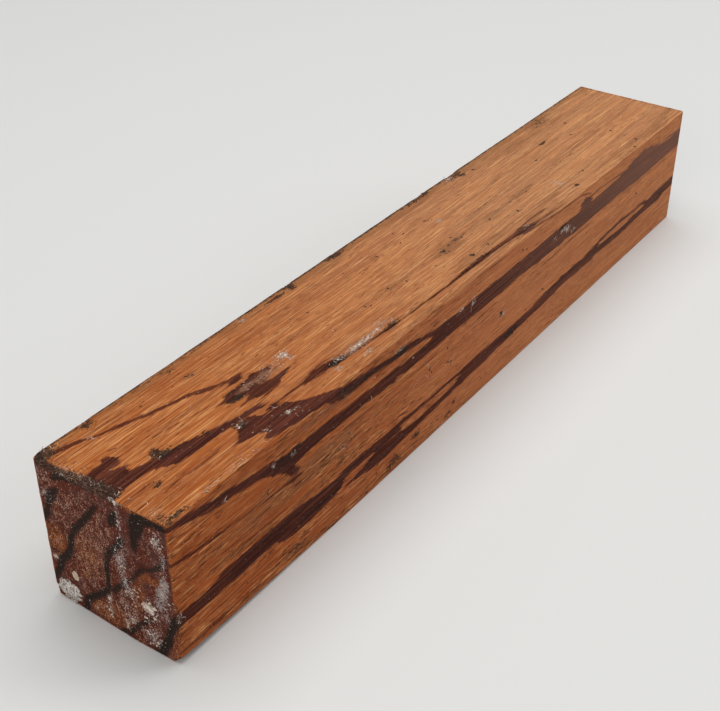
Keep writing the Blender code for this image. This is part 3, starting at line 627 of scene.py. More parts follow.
def lattice():
    """The surface of the plain box: points, quads, place across, and the face that each point is marked as.

    Each ring starts at the upper arris on the +Y side and runs over the top, down the front, back along the
    underside and up the back.
    """
    n = CELLS_ACROSS
    across_y = HALF_WIDTH - graded(n, WIDTH, EDGE_BAND, EDGE_CELLS, EDGE_BAND, EDGE_CELLS)
    down_z = HEIGHT - graded(n, HEIGHT, EDGE_BAND, EDGE_CELLS, EDGE_BAND, EDGE_CELLS)
    along_x = graded(CELLS_ALONG, LENGTH, NEAR_BAND, NEAR_CELLS, EDGE_BAND, EDGE_CELLS) - HALF_LENGTH
    ring_y = np.concatenate([across_y[:n], np.full(n, -HALF_WIDTH), across_y[:0:-1], np.full(n, HALF_WIDTH)])
    ring_z = np.concatenate([np.full(n, HEIGHT), down_z[:n], np.zeros(n), down_z[:0:-1]])
    ring_across = np.concatenate(
        [on_top(across_y[:n]), on_front(down_z[:n]), on_underside(across_y[:0:-1]), on_back(down_z[:0:-1])]
    )
    around = len(ring_y)
    stations = len(along_x)
    rings = [np.repeat(along_x, around), np.tile(ring_y, stations), np.tile(ring_z, stations)]
    points = np.stack(rings, axis=1)
    across = np.tile(ring_across, stations)
    end = np.full(len(points), LONG_FACE)
    k = np.arange(around)
    ring_quads = np.stack([k, (k + 1) % around, (k + 1) % around + around, k + around], axis=1)
    quads = [ring_quads + i * around for i in range(stations - 1)]
    for station, side in ((0, NEAR_END), (stations - 1, FAR_END)):
        grid = np.zeros((n + 1, n + 1), int)
        first = station * around
        grid[:, 0] = first + np.arange(n + 1)
        grid[n, :] = first + n + np.arange(n + 1)
        grid[:, n] = first + 3 * n - np.arange(n + 1)
        grid[0, :] = first + (4 * n - np.arange(n + 1)) % around
        inner_y, inner_z = np.meshgrid(across_y[1:n], down_z[1:n], indexing="ij")
        grid[1:n, 1:n] = len(points) + np.arange((n - 1) ** 2).reshape(n - 1, n - 1)
        inner = np.stack([np.full(inner_y.size, along_x[station]), inner_y.ravel(), inner_z.ravel()], axis=1)
        points = np.concatenate([points, inner])
        across = np.concatenate([across, np.zeros(len(inner))])
        end = np.concatenate([end, np.full(len(inner), side)])
        face = np.stack([grid[:-1, :-1], grid[:-1, 1:], grid[1:, 1:], grid[1:, :-1]], axis=-1).reshape(-1, 4)
        quads.append(face if side == NEAR_END else face[:, ::-1])
    return points, np.concatenate(quads), across, end


def depth_in_sawn_wood(p):
    """How deep a point lies in the billet as sawn, with its arrises eased, and below 0 outside."""
    x, y, z = p.T
    radius = ARRIS_RADIUS * (ARRIS_SHARE + ARRIS_UNEVEN * coarse_noise(p, (9.0, 3.0, 3.0)))
    walls = (x - near_end_x(y), HALF_LENGTH - x, HALF_WIDTH - y, HALF_WIDTH + y, z, HEIGHT - z)
    into_edge = sum(np.maximum(0, radius - wall) ** 2 for wall in walls)
    return radius - np.sqrt(into_edge)


def depth_past_wear(p):
    """How far a point lies from what wear has taken: below 0 where the wood is gone."""
    x, y, z = p.T
    fibres = coarse_noise(p, (5.0, 0.9, 0.9)) + 0.5 * fine_noise(p, (3.0, 0.5, 0.5))
    run = np.interp(y, TORN_EDGE_Y, TORN_EDGE_RUN)
    drop = np.interp(y, TORN_EDGE_Y, TORN_EDGE_DROP)
    behind = x - near_end_x(y)
    torn = (behind / run + (HEIGHT - z) / drop - 1) / np.hypot(1 / run, 1 / drop) + TORN_FRAY * fibres
    torn = np.where(y > TORN_EDGE_Y[0], torn, DEEP)
    rubbed = (y + HALF_WIDTH + z - np.interp(x, RUBBED_X, RUBBED_WIDTH)) / math.sqrt(2)
    rubbed = rubbed + RUBBED_FRAY * coarse_noise(p, (6.0, 2.0, 2.0))
    left = np.minimum(torn, rubbed)
    for centre, radii in CHIPS:
        reach = np.linalg.norm((p - centre) / radii, axis=1)
        left = np.minimum(left, (reach - CHIP_SHARE + CHIP_FRAY * fibres) * min(radii))
    return left


def carved(points):
    """Moves each point of the box in, towards the middle of the wood, to where the wood now ends."""
    inner_low = np.array([-HALF_LENGTH, -HALF_WIDTH, 0]) + ANCHOR_DEPTH
    inner_high = np.array([HALF_LENGTH, HALF_WIDTH, HEIGHT]) - ANCHOR_DEPTH
    anchors = np.clip(points, inner_low, inner_high)
    wood = np.zeros(len(points))
    air = np.ones(len(points))
    for _ in range(BISECTIONS):
        middle = (wood + air) / 2
        p = anchors + (points - anchors) * middle[:, None]
        there = np.minimum(depth_in_sawn_wood(p), depth_past_wear(p)) > 0
        wood = np.where(there, middle, wood)
        air = np.where(there, air, middle)
    return anchors + (points - anchors) * wood[:, None]


def open_check(points, upper):
    """Sinks the V groove of the open check into the top."""
    x, y, z = points.T
    wander = CHECK_WANDER * coarse_noise(points * (1, 0, 0), (6.0, 1.0, 1.0))
    centre = np.interp(x, CHECK_X, CHECK_Y) + wander
    width = np.interp(x, CHECK_X, CHECK_WIDTH, left=0, right=0)
    depth = np.interp(x, CHECK_X, CHECK_DEPTH, left=0, right=0)
    share = np.clip(1 - np.abs(y - centre) / np.maximum(width / 2, CHECK_NARROWEST / 2), 0, 1)
    sunk = points.copy()
    sunk[:, 2] = z - upper * share * depth
    return sunk


def gathered_to_check(points, upper):
    """Draws the rows of points on top in towards the check, so that its groove has points enough."""
    x, y, _ = points.T
    away = y - np.interp(x, CHECK_X, CHECK_Y)
    past_ends = np.maximum(CHECK_X[0] - x, x - CHECK_X[-1])
    near = np.clip(1 - past_ends / GATHER_FADE_X, 0, 1)
    room = np.clip((HALF_WIDTH - np.abs(y)) / GATHER_FADE_Y, 0, 1)
    pull = GATHER_PULL * np.tanh(away / GATHER_CORE) * np.exp(-((away / GATHER_REACH) ** 2)) * near * room
    pull = pull * upper
    moved = points.copy()
    moved[:, 1] = y - pull
    return moved


def band_depth(x, across, stations, place):
    """How deep each point lies in a band that follows the grain, and below 0 outside it."""
    along, edge_a, edge_b = np.array(stations, float).T * MARK_SCALE
    sides = np.sort([place(edge_a), place(edge_b)], axis=0)
    low = np.interp(x, along, sides[0])
    high = np.interp(x, along, sides[1])
    ends = np.minimum(x - along[0], along[-1] - x) / GRAIN_STRETCH
    return np.minimum(np.minimum(high - across, across - low), ends)


def stroke_depth(y, z, stations):
    """How deep each point lies in a stroke across an end face, and below 0 outside it."""
    spots = np.array(stations, float) * MARK_SCALE
    depth = np.full(len(y), OUTSIDE)
    for (y0, z0, r0), (y1, z1, r1) in zip(spots, spots[1:]):
        share = ((y - y0) * (y1 - y0) + (z - z0) * (z1 - z0)) / ((y1 - y0) ** 2 + (z1 - z0) ** 2)
        share = np.clip(share, 0, 1)
        away = np.hypot(y - y0 - share * (y1 - y0), z - z0 - share * (z1 - z0))
        depth = np.maximum(depth, r0 + share * (r1 - r0) - away)
    return depth


def patches(first, second, marks, place=on_top):
    """The strongest of some soft patches at each point, 0 to 1."""
    strongest = np.zeros(len(first))
    for a, b, reach_a, reach_b, strength in marks:
        away = np.hypot((first - a * MARK_SCALE) / reach_a, (second - place(b * MARK_SCALE)) / reach_b)
        strongest = np.maximum(strongest, strength * np.clip(PATCH_CREST - PATCH_FALL * away, 0, 1))
    return strongest


def vein_fields(x, across, y, z, end):
    """Depth in the nearest vein, and that vein's darkness."""
    depth = np.full(len(x), OUTSIDE)
    darkness = np.full(len(x), 0.5)
    faces = (
        (TOP_VEINS, on_top), (FRONT_VEINS, on_front), (UNDERSIDE_VEINS, on_underside), (BACK_VEINS, on_back)
    )
    for veins, place in faces:
        for dark, stations in veins:
            for turn in (0, GIRTH):
                here = np.where(end == LONG_FACE, band_depth(x, across - turn, stations, place), OUTSIDE)
                darkness = np.where(here > depth, dark, darkness)
                depth = np.maximum(depth, here)
    for veins, side in ((NEAR_END_VEINS, NEAR_END), (FAR_END_VEINS, FAR_END)):
        for dark, stations in veins:
            here = np.where(end == side, stroke_depth(y, z, stations), OUTSIDE)
            darkness = np.where(here > depth, dark, darkness)
            depth = np.maximum(depth, here)
    return np.clip(depth, -VEIN_DEPTH_KEPT, VEIN_DEPTH_KEPT), darkness


def face_fields(flat, across, end, carved_away):
    """What each point of the billet carries besides its veins, as named values."""
    x, y, z = flat.T
    long_face = end == LONG_FACE
    near = end == NEAR_END
    far = end == FAR_END
    on_long_faces = {
        "grime": (TOP_GRIME, FRONT_GRIME),
        "dust": (TOP_DUST, FRONT_DUST),
        "stain": (TOP_STAIN, FRONT_STAIN),
        "warm": (TOP_WARM, FRONT_WARM),
        "tan": (TOP_TAN, FRONT_TAN),
    }
    on_near_end = {"film": END_FILM, "grains": END_GRAINS, "warm": END_WARM, "speckle": END_SPECKLE}
    fields = {}
    for name, (top_marks, front_marks) in on_long_faces.items():
        value = np.maximum(patches(x, across, top_marks, on_top), patches(x, across, front_marks, on_front))
        fields[name] = value * long_face
    for name, marks in on_near_end.items():
        fields[name] = fields.get(name, 0) + patches(y, z, marks) * near
    fields["film"] += 0.5 * far * np.clip(coarse_noise(flat, (9, 9, 9)), 0, 1)
    fields["grains"] += 0.35 * far * np.clip(coarse_noise(flat, (7, 7, 7)) + 0.3, 0, 1)
    fields["warm"] += far * np.clip(0.7 + 0.6 * coarse_noise(flat, (9, 8, 8)), 0, 1)
    fields["speckle"] += 0.5 * far
    fields["end_face"] = near | far
    fields["front"] = long_face * np.clip((-HALF_WIDTH - across) / FRONT_FADE + 0.5, 0, 1)
    fields["worn"] = np.clip(carved_away / WORN_DEPTH, 0, 1) * long_face
    run = np.interp(y, TORN_EDGE_Y, LAP_RUN)
    lap = LAP_CREST - np.where(near, (HEIGHT - z) / LAP_DROP, (x - LOW[0]) / run)
    on_torn_side = (y > TORN_EDGE_Y[0]) & (long_face & (across > -HALF_WIDTH) | near)
    fields["lap"] = np.clip(lap * on_torn_side, 0, 1)
    return fields


def mesh_object(name, points, quads):
    """points are in millimetres."""
    mesh = bpy.data.meshes.new(name)
    mesh.from_pydata((points * MM).tolist(), [], quads.tolist())
    mesh.shade_smooth()
    thing = bpy.data.objects.new(name, mesh)
    bpy.context.scene.collection.objects.link(thing)
    return thing


def store(thing, name, values):
    attribute = thing.data.attributes.new(name, "FLOAT", "POINT")
    attribute.data.foreach_set("value", np.asarray(values, np.float32))


def lay_out_for_baking(billet, flat, quads):
    """Spreads out the long faces as strips, and the two ends above them."""
    n = CELLS_ACROSS
    ring_quads = len(quads) - 2 * n * n
    side = np.concatenate([np.arange(ring_quads) % (4 * n) // n, np.full(n * n, 4), np.full(n * n, 5)])
    side = side[:, None]
    x, y, z = flat[quads].transpose(2, 0, 1)
    run = np.select([side == 0, side == 1, side == 2], [HALF_WIDTH - y, HEIGHT - z, HALF_WIDTH + y], z)
    along_strip = STRIP_MARGIN + (1 - 2 * STRIP_MARGIN) * (x / LENGTH + 0.5)
    across_strips = STRIP_MARGIN + STRIP_STEP * side + STRIP_SIZE * run / HEIGHT
    across_end = END_MARGIN + END_STEP * (side - 4) + END_SIZE * (y / WIDTH + 0.5)
    up_end = END_MARGIN + 4 * STRIP_STEP + END_SIZE * z / HEIGHT
    on_end = side > 3
    first = np.where(on_end, across_end, along_strip)
    second = np.where(on_end, up_end, across_strips)
    layout = billet.data.uv_layers.new(name="OFBake")
    layout.data.foreach_set("uv", np.stack([first, second], axis=-1).ravel().astype(np.float32))


def build_billet():
    flat, quads, across, end = lattice()
    upper = ((flat[:, 2] > HEIGHT - 1e-6) & (end == LONG_FACE)).astype(float)
    flat = gathered_to_check(flat, upper)
    across = np.where(upper > 0, flat[:, 1], across)
    worn = open_check(carved(flat), upper)
    billet = mesh_object("billet", worn, quads)
    billet.data.set_sharp_from_angle(angle=SHARP_ANGLE)
    x, y, z = flat.T
    depth, darkness = vein_fields(x, across, y, z, end)
    ragged = VEIN_RAGGED * coarse_noise(flat, (9.0, 1.0, 1.0)) * np.clip(depth + 0.5, 0, 1)
    lay_out_for_baking(billet, flat, quads)
    store(billet, "vein", depth + ragged)
    store(billet, "darkness", darkness)
    for name, values in face_fields(flat, across, end, np.linalg.norm(flat - worn, axis=1)).items():
        store(billet, name, values)
    return billet


class Shader:
    """A short way to write a material: every call adds a node and gives back its output."""

    def __init__(self, name):
        self.material = bpy.data.materials.new(name)
        self.material.use_nodes = True
        self.tree = self.material.node_tree
        self.surface = self.tree.nodes["Principled BSDF"]

    def feed(self, socket, value):
        if isinstance(value, bpy.types.NodeSocket):
            self.tree.links.new(value, socket)
        elif isinstance(value, tuple) and len(value) == 3 and socket.type == "RGBA":
            socket.default_value = (*value, 1.0)
        else:
            socket.default_value = value

    def node(self, kind, inputs=(), output=0, **settings):
        node = self.tree.nodes.new(kind)
        for key, value in settings.items():
            setattr(node, key, value)
        for key, value in inputs:
            self.feed(node.inputs[key], value)
        return node.outputs[output]

    def place(self):
        return self.node("ShaderNodeTexCoord", output="Object")

    def attribute(self, name):
        return self.node("ShaderNodeAttribute", output="Fac", attribute_name=name)

    def math(self, operation, first, second):
        return self.node("ShaderNodeMath", ((0, first), (1, second)), operation=operation)

    def add(self, first, second):
        return self.math("ADD", first, second)

    def less(self, first, second):
        return self.math("SUBTRACT", first, second)

    def times(self, first, second):
        return self.math("MULTIPLY", first, second)

    def step(self, value, low, high):
        """0 below low and 1 above high, with a smooth rise between. Also falls, where low is above high."""
        if low > high:
            return self.less(1.0, self.step(value, high, low))
        inputs = (("Value", value), ("From Min", low), ("From Max", high))
        return self.node("ShaderNodeMapRange", inputs, interpolation_type="SMOOTHSTEP")

    def stretched(self, vector, size):
        """The vector counted in cells of this size in millimetres along X, Y and Z."""
        factor = tuple(1 / (MM * length) for length in size)
        return self.node("ShaderNodeVectorMath", ((0, vector), (1, factor)), operation="MULTIPLY")

    def noise(self, vector, size, detail=2.0, roughness=0.5):
        inputs = (("Vector", self.stretched(vector, size)), ("Scale", 1.0), ("Detail", detail),
                  ("Roughness", roughness))
        return self.node("ShaderNodeTexNoise", inputs, output="Fac")

    def cells(self, vector, size, output="Distance", flat=False):
        inputs = (("Vector", self.stretched(vector, size)), ("Scale", 1.0))
        dimensions = "2D" if flat else "3D"
        return self.node("ShaderNodeTexVoronoi", inputs, output=output, voronoi_dimensions=dimensions)

    def specks(self, vector, size, share, radius, flat=False):
        """Grains of this radius, counted in cells, in this share of the cells."""
        grain = self.step(self.cells(vector, size, "Distance", flat), radius + 0.1, radius - 0.1)
        chance = self.add(self.cells(vector, size, "Color", flat), share)
        return self.times(grain, self.step(chance, 0.94, 1.04))

    def mix(self, amount, first, second):
        inputs = ((0, amount), (6, first), (7, second))
        return self.node("ShaderNodeMix", inputs, output=2, data_type="RGBA")

    def tint(self, colour, tint, strength, pattern, low, high):
        """The colour with a tint laid on, by this strength, where the pattern goes from low to high."""
        return self.mix(self.times(self.step(pattern, low, high), strength), colour, tint)

    def shift(self, vector, size, reach):
        """The vector moved about by noise, by up to about this reach in metres along X, Y and Z."""
        inputs = (("Vector", self.stretched(vector, size)), ("Scale", 1.0), ("Detail", 1.0))
        wander = self.node("ShaderNodeTexNoise", inputs, output="Color")
        centred = self.node("ShaderNodeVectorMath", ((0, wander), (1, (0.5, 0.5, 0.5))), operation="SUBTRACT")
        scaled = self.node("ShaderNodeVectorMath", ((0, centred), (1, reach)), operation="MULTIPLY")
        return self.node("ShaderNodeVectorMath", ((0, vector), (1, scaled)), operation="ADD")

    def part(self, vector, axis):
        return self.node("ShaderNodeSeparateXYZ", ((0, vector),), output=axis)

    def finish(self, colour, roughness, specular):
        self.feed(self.surface.inputs["Base Color"], colour)
        self.surface.inputs["Roughness"].default_value = roughness
        self.surface.inputs["Specular IOR Level"].default_value = specular

    def bump(self, height, strength, distance):
        inputs = (("Height", height), ("Strength", strength), ("Distance", distance))
        self.feed(self.surface.inputs["Normal"], self.node("ShaderNodeBump", inputs))

    def broken(self, amount, pattern, sharpness=0.12, spread=1.3):
        """Turns a soft amount into a patch that the pattern, of middle value 0.5, breaks up."""
        offset = self.times(self.less(pattern, 0.5), spread)
        return self.step(self.add(amount, offset), 0.5 - sharpness, 0.5 + sharpness)


# Colours of the wood, linear
PALE_GRAIN = (0.60, 0.240, 0.080)
GOLD_FLECK = (0.80, 0.42, 0.17)
# Pale sparks: flecks of the wood, and partly painted glints of light on its fibres
SPARK_AND_GLINT = (0.74, 0.33, 0.125)
MID_GRAIN = (0.43, 0.130, 0.033)
RED_GRAIN = (0.27, 0.060, 0.015)
PORE = (0.060, 0.018, 0.008)
DASH = (0.110, 0.036, 0.015)
STAIN = (0.19, 0.080, 0.036)
# Painted sheen and dust: paler wood laid on toward the far end, where the faces are seen at a grazing angle
SHEEN_AND_DUST_PALE = (0.62, 0.42, 0.245)
FRONT_SHEEN_AND_DUST_PALE = (0.78, 0.34, 0.165)
# Painted sheen and dust on the veins toward the far end
VEIN_SHEEN_AND_DUST_PALE = (0.56, 0.29, 0.195)
# Painted shade: the front is darkened and reddened with this, most toward the near end
FRONT_SHADE_RUSSET = (0.36, 0.066, 0.016)
VEIN = (0.042, 0.0105, 0.0080)
VEIN_PALE = (0.112, 0.033, 0.024)
VEIN_STRAND = (0.215, 0.062, 0.030)
THIN_VEIN = (0.120, 0.026, 0.010)
GRIME = (0.024, 0.019, 0.015)
LAP_DARK = (0.045, 0.025, 0.018)
LAP_PALE = (0.170, 0.092, 0.060)
DUST = (0.58, 0.43, 0.34)
TAN_DUST = (0.27, 0.130, 0.076)
END_RED = (0.158, 0.037, 0.022)
END_MAUVE = (0.182, 0.070, 0.055)
END_GOLD = (0.64, 0.37, 0.24)
END_BROWN = (0.30, 0.120, 0.072)
END_ORANGE = (0.30, 0.085, 0.028)
END_GAP = (0.040, 0.014, 0.010)
END_VEIN = (0.026, 0.017, 0.013)
FILM_GREY = (0.46, 0.385, 0.36)
FILM_WHITE = (0.74, 0.64, 0.60)


def wood_material():
    s = Shader("marblewood")
    raw = s.place()
    grain = s.shift(raw, (60, 14, 14), (0.0, 0.0016, 0.0016))
    along = s.part(raw, 0)
    sideways = s.part(raw, 1)
    height = s.part(raw, 2)
    front = s.attribute("front")
    end_face = s.attribute("end_face")
    warm = s.attribute("warm")
    darkness = s.attribute("darkness")

    # sound wood along the grain: bands, streaks, fine lines and pores
    bands = s.noise(grain, (120, 6.0, 6.0), 3.0)
    streaks = s.noise(grain, (50, 0.75, 0.75), 3.0, 0.6)
    lines = s.noise(grain, (24, 0.28, 0.28), 2.0, 0.65)
    flecks = s.noise(grain, (14, 0.23, 0.23), 1.0)
    mottled = s.noise(grain, (9, 1.7, 1.7), 4.0, 0.6)
    bristles = s.noise(grain, (42, 0.42, 0.42), 3.0, 0.6)
    redder = s.step(s.less(bands, s.times(warm, 0.18)), 0.60, 0.36)
    colour = s.mix(s.times(redder, 0.65), MID_GRAIN, RED_GRAIN)
    colour = s.tint(colour, PALE_GRAIN, 0.60, streaks, 0.46, 0.66)
    colour = s.tint(colour, RED_GRAIN, 0.78, lines, 0.47, 0.37)
    colour = s.tint(colour, GOLD_FLECK, 0.58, flecks, 0.56, 0.67)
    rough_face = s.add(s.times(front, 0.12), 0.26)
    colour = s.tint(colour, RED_GRAIN, rough_face, mottled, 0.50, 0.36)
    colour = s.tint(colour, STAIN, s.times(rough_face, 1.6), bristles, 0.45, 0.37)
    ribbons = s.noise(grain, (150, 1.4, 1.4), 4.0, 0.65)
    far_part = s.step(along, -0.03, 0.07)
    colour = s.tint(colour, STAIN, s.times(far_part, 0.36), ribbons, 0.49, 0.38)
    colour = s.tint(colour, PALE_GRAIN, s.times(far_part, 0.34), ribbons, 0.54, 0.65)
    pores = s.step(s.cells(grain, (5.5, 0.8, 0.8)), 0.24, 0.12)
    pores = s.times(pores, s.step(s.noise(grain, (9, 2.2, 2.2)), 0.45, 0.6))
    dots = s.specks(raw, (3.2, 1.6, 1.6), 0.26, 0.14)
    colour = s.mix(s.times(s.math("MAXIMUM", pores, dots), 0.75), colour, PORE)
    # painted shade: the front is darker and redder than the top all along, and most so toward the near end
    front_shade_near = s.times(front, s.step(along, 0.16, -0.15))
    colour = s.mix(s.add(s.times(front_shade_near, 0.36), s.times(front, 0.12)), colour, FRONT_SHADE_RUSSET)
    # painted sheen and dust: the wood turns paler toward the far end, a little more on the front
    sheen_and_dust_colour = s.mix(front, SHEEN_AND_DUST_PALE, FRONT_SHEEN_AND_DUST_PALE)
    sheen_and_dust_share = s.add(s.times(front, 0.06), 0.23)
    colour = s.tint(colour, sheen_and_dust_colour, sheen_and_dust_share, along, -0.135, 0.05)
    smears = s.noise(grain, (20, 0.9, 0.9), 4.0, 0.7)
    stained = s.broken(s.add(s.times(s.attribute("stain"), 0.85), 0.10), smears, 0.15, 2.6)
    colour = s.mix(s.times(stained, 0.50), colour, STAIN)

    # short dark dashes and pale sparks in patches, most of them on the front; the pale sparks are partly
    # painted glints of light on the fibres
    dashes = s.noise(grain, (5.2, 0.70, 0.62), 4.0, 0.72)
    sparks_and_glints = s.noise(grain, (8, 0.42, 0.42), 3.0, 0.7)
    rough_front = s.times(front, s.add(s.times(s.step(along, 0.02, -0.09), 0.56), 0.14))
    coverage = s.step(s.noise(grain, (26, 4.0, 4.0), 2.0), 0.34, 0.62)
    rough_top = s.add(s.times(s.step(along, 0.08, -0.04), 0.18), 0.24)
    coverage = s.times(s.add(s.times(coverage, 0.9), 0.25), s.add(rough_front, rough_top))
    colour = s.tint(colour, DASH, coverage, dashes, 0.49, 0.37)
    colour = s.tint(colour, SPARK_AND_GLINT, s.times(coverage, 0.8), sparks_and_glints, 0.54, 0.66)

    # sound end grain, a mottled ground with pale granules and dark gaps
    across = s.node("ShaderNodeCombineXYZ", ((0, sideways), (1, height), (2, along)))
    mottle = s.noise(raw, (5, 5, 5), 4.0, 0.6)
    gaps = s.noise(raw, (0.6, 0.42, 0.50), 1.0)
    blots = s.noise(raw, (3.0, 1.8, 2.6), 3.0, 0.65)
    across = s.shift(across, (1.7, 1.7, 1.7), (0.0004, 0.0004, 0.0))
    end_colour = s.mix(s.step(mottle, 0.42, 0.6), END_RED, END_MAUVE)
    end_colour = s.mix(s.broken(warm, mottle, 0.3), end_colour, END_ORANGE)
    end_colour = s.tint(end_colour, END_GAP, 0.45, blots, 0.52, 0.38)
    end_colour = s.tint(end_colour, END_GAP, 0.75, gaps, 0.52, 0.40)
    share = s.add(s.times(s.attribute("speckle"), 0.60), s.times(s.step(blots, 0.42, 0.62), 0.26))
    granules = s.specks(across, (0.47, 0.47, 1), share, 0.35, flat=True)
    granule_colour = s.mix(s.step(blots, 0.4, 0.6), END_BROWN, END_GOLD)
    end_colour = s.mix(s.times(granules, 0.88), end_colour, granule_colour)
    colour = s.mix(end_face, colour, end_colour)

    # veins, with edges that run out in strands
    strands = s.times(s.less(s.noise(grain, (9.0, 0.50, 0.50), 3.0, 0.6), 0.5), 2.9)
    threads = s.times(s.less(flecks, 0.5), 1.4)
    edge = s.times(s.add(strands, threads), s.add(s.times(darkness, 0.85), 0.10))
    frayed = s.add(s.times(s.less(blots, 0.5), 2.4), s.times(s.less(gaps, 0.5), 2.0))
    edge = s.add(edge, s.times(frayed, end_face))
    in_vein = s.step(s.add(s.attribute("vein"), edge), -0.14, 0.20)
    vein_colour = s.mix(s.times(s.step(streaks, 0.44, 0.62), 0.8), VEIN, VEIN_PALE)
    ribs = s.noise(grain, (26, 0.95, 0.95), 3.0, 0.65)
    vein_colour = s.tint(vein_colour, VEIN_STRAND, 0.34, ribs, 0.53, 0.64)
    vein_colour = s.tint(vein_colour, END_GAP, 0.75, lines, 0.49, 0.39)
    vein_colour = s.tint(vein_colour, RED_GRAIN, 0.45, flecks, 0.60, 0.70)
    vein_colour = s.mix(s.step(darkness, 0.85, 0.35), vein_colour, THIN_VEIN)
    # painted sheen and dust on the veins: paler toward the far end, more so high up and on the top
    vein_sheen_and_dust_share = s.add(s.times(s.step(height, 0.018, 0.034), 0.15), 0.09)
    vein_colour = s.tint(vein_colour, VEIN_SHEEN_AND_DUST_PALE, vein_sheen_and_dust_share, along, -0.05, 0.15)
    vein_colour = s.mix(end_face, vein_colour, END_VEIN)
    colour = s.mix(s.times(in_vein, s.add(s.times(darkness, 0.18), 0.80)), colour, vein_colour)

    # dirt and sealer on the surface
    crust = s.noise(raw, (1.3, 0.6, 0.6), 4.0, 0.7)
    weathered = s.broken(s.attribute("worn"), crust, 0.2, 1.2)
    colour = s.mix(s.times(weathered, 0.75), colour, LAP_DARK)
    matted = s.noise(raw, (0.45, 2.2, 0.9), 3.0, 0.65)
    clumps = s.noise(raw, (1.6, 1.6, 1.2), 3.0, 0.6)
    lap = s.broken(s.attribute("lap"), clumps, 0.12, 1.6)
    lap_colour = s.mix(s.times(s.step(matted, 0.50, 0.66), s.step(clumps, 0.40, 0.60)), LAP_DARK, LAP_PALE)
    colour = s.mix(s.times(lap, 0.84), colour, lap_colour)
    grimy = s.broken(s.attribute("grime"), crust, 0.16, 2.4)
    colour = s.mix(s.times(grimy, 0.86), colour, GRIME)
    powder = s.noise(raw, (1.6, 0.34, 0.34), 3.0, 0.7)
    dust = s.attribute("dust")
    tan = s.broken(s.attribute("tan"), crust, 0.2, 1.8)
    colour = s.mix(s.times(tan, 0.7), colour, TAN_DUST)
    dusty = s.broken(s.less(s.times(dust, 0.9), 0.16), powder, 0.2, 3.0)
    colour = s.mix(s.times(dusty, 0.6), colour, DUST)
    film = s.attribute("film")
    filmed = s.broken(s.times(film, 0.85), s.noise(raw, (0.7, 0.6, 0.45), 3.0, 0.6), 0.14, 2.4)
    colour = s.mix(s.times(filmed, 0.78), colour, FILM_GREY)
    share = s.add(s.times(s.attribute("grains"), 0.8), s.add(s.times(blots, 0.8), -0.40))
    small = s.specks(across, (0.42, 0.42, 1), share, 0.30, flat=True)
    large = s.specks(across, (0.95, 0.80, 1), s.times(share, 0.7), 0.30, flat=True)
    grains = s.times(s.math("MAXIMUM", s.times(small, 0.85), large), end_face)
    colour = s.mix(s.times(grains, 0.8), colour, s.mix(s.step(gaps, 0.40, 0.62), FILM_GREY, FILM_WHITE))
    s.finish(colour, 0.72, 0.03)

    relief = s.add(s.times(lines, 0.5), s.times(streaks, 0.4))
    relief = s.add(relief, s.times(pores, -0.5))
    relief = s.mix(end_face, relief, s.add(s.times(granules, 0.5), s.add(gaps, s.times(mottle, 1.2))))
    relief = s.add(relief, s.times(crust, s.times(s.math("MAXIMUM", grimy, dusty), 0.8)))
    relief = s.add(relief, s.times(matted, lap))
    relief = s.add(relief, s.add(s.times(filmed, 0.5), s.times(grains, 0.6)))
    s.bump(relief, 0.8, 0.22 * MM)
    return s.material


SEALER_WHITE = (0.94, 0.86, 0.79)
SEALER_GREY = (0.50, 0.42, 0.37)
DROP_CREAM = (0.88, 0.69, 0.51)
DROP_GREY = (0.70, 0.50, 0.35)
SEALER_DIRT = (0.050, 0.040, 0.034)


def sealer_material(name, white, grey, dirtiness):
    s = Shader(name)
    raw = s.place()
    cloud = s.noise(raw, (1.6, 1.4, 1.4), 4.0, 0.7)
    colour = s.mix(s.step(cloud, 0.42, 0.60), grey, white)
    dirt = s.noise(raw, (0.8, 0.6, 0.6), 3.0, 0.75)
    colour = s.tint(colour, SEALER_DIRT, dirtiness, dirt, 0.50, 0.39)
    s.finish(colour, 0.6, 0.2)
    s.bump(s.add(dirt, cloud), 1.0, 0.5 * MM)
    return s.material


def varied_material(name, first, second, roughness):
    """Two colours that change from one small thing to the next."""
    s = Shader(name)
    raw = s.place()
    amount = s.step(s.noise(raw, (1.1, 1.1, 1.1), 2.0), 0.38, 0.62)
    s.finish(s.mix(amount, first, second), roughness, 0.15)
    return s.material


class Setting:
    """The surface of the carved billet, to set small things on."""

    ways = {"top": (0, 0, -1), "front": (0, 1, 0), "near": (1, 0, 0)}

    def __init__(self, thing):
        corners = [vertex.co for vertex in thing.data.vertices]
        self.tree = BVHTree.FromPolygons(corners, [face.vertices for face in thing.data.polygons])

    def spot(self, face, first, second):
        """The point of the surface at this place on a face, in millimetres, and the way out of the wood."""
        start = {
            "top": (first, second, HEIGHT + RAY_LEAD),
            "front": (first, -HALF_WIDTH - RAY_LEAD, second),
            "near": (-HALF_LENGTH - RAY_LEAD, first, second),
        }[face]
        inward = Vector(self.ways[face])
        hit = self.tree.ray_cast(Vector(start) * MM, inward)[0]
        return (None, None) if hit is None else (np.array(hit) / MM, -np.array(inward))


def directions(face, out, angle):
    """Two unit vectors in the plane of a face, the first turned this far from the grain."""
    along = np.array((0.0, 1.0, 0.0)) if face == "near" else np.array((1.0, 0.0, 0.0))
    side = np.cross(out, along)
    return math.cos(angle) * along + math.sin(angle) * side, math.cos(angle) * side - math.sin(angle) * along


def bridge(bm, rings):
    """Joins rings of points, one after the other, by quads."""
    for ring, following in zip(rings, rings[1:]):
        for k in range(len(ring)):
            after = (k + 1) % len(ring)
            bm.faces.new((ring[k], ring[after], following[after], following[k]))


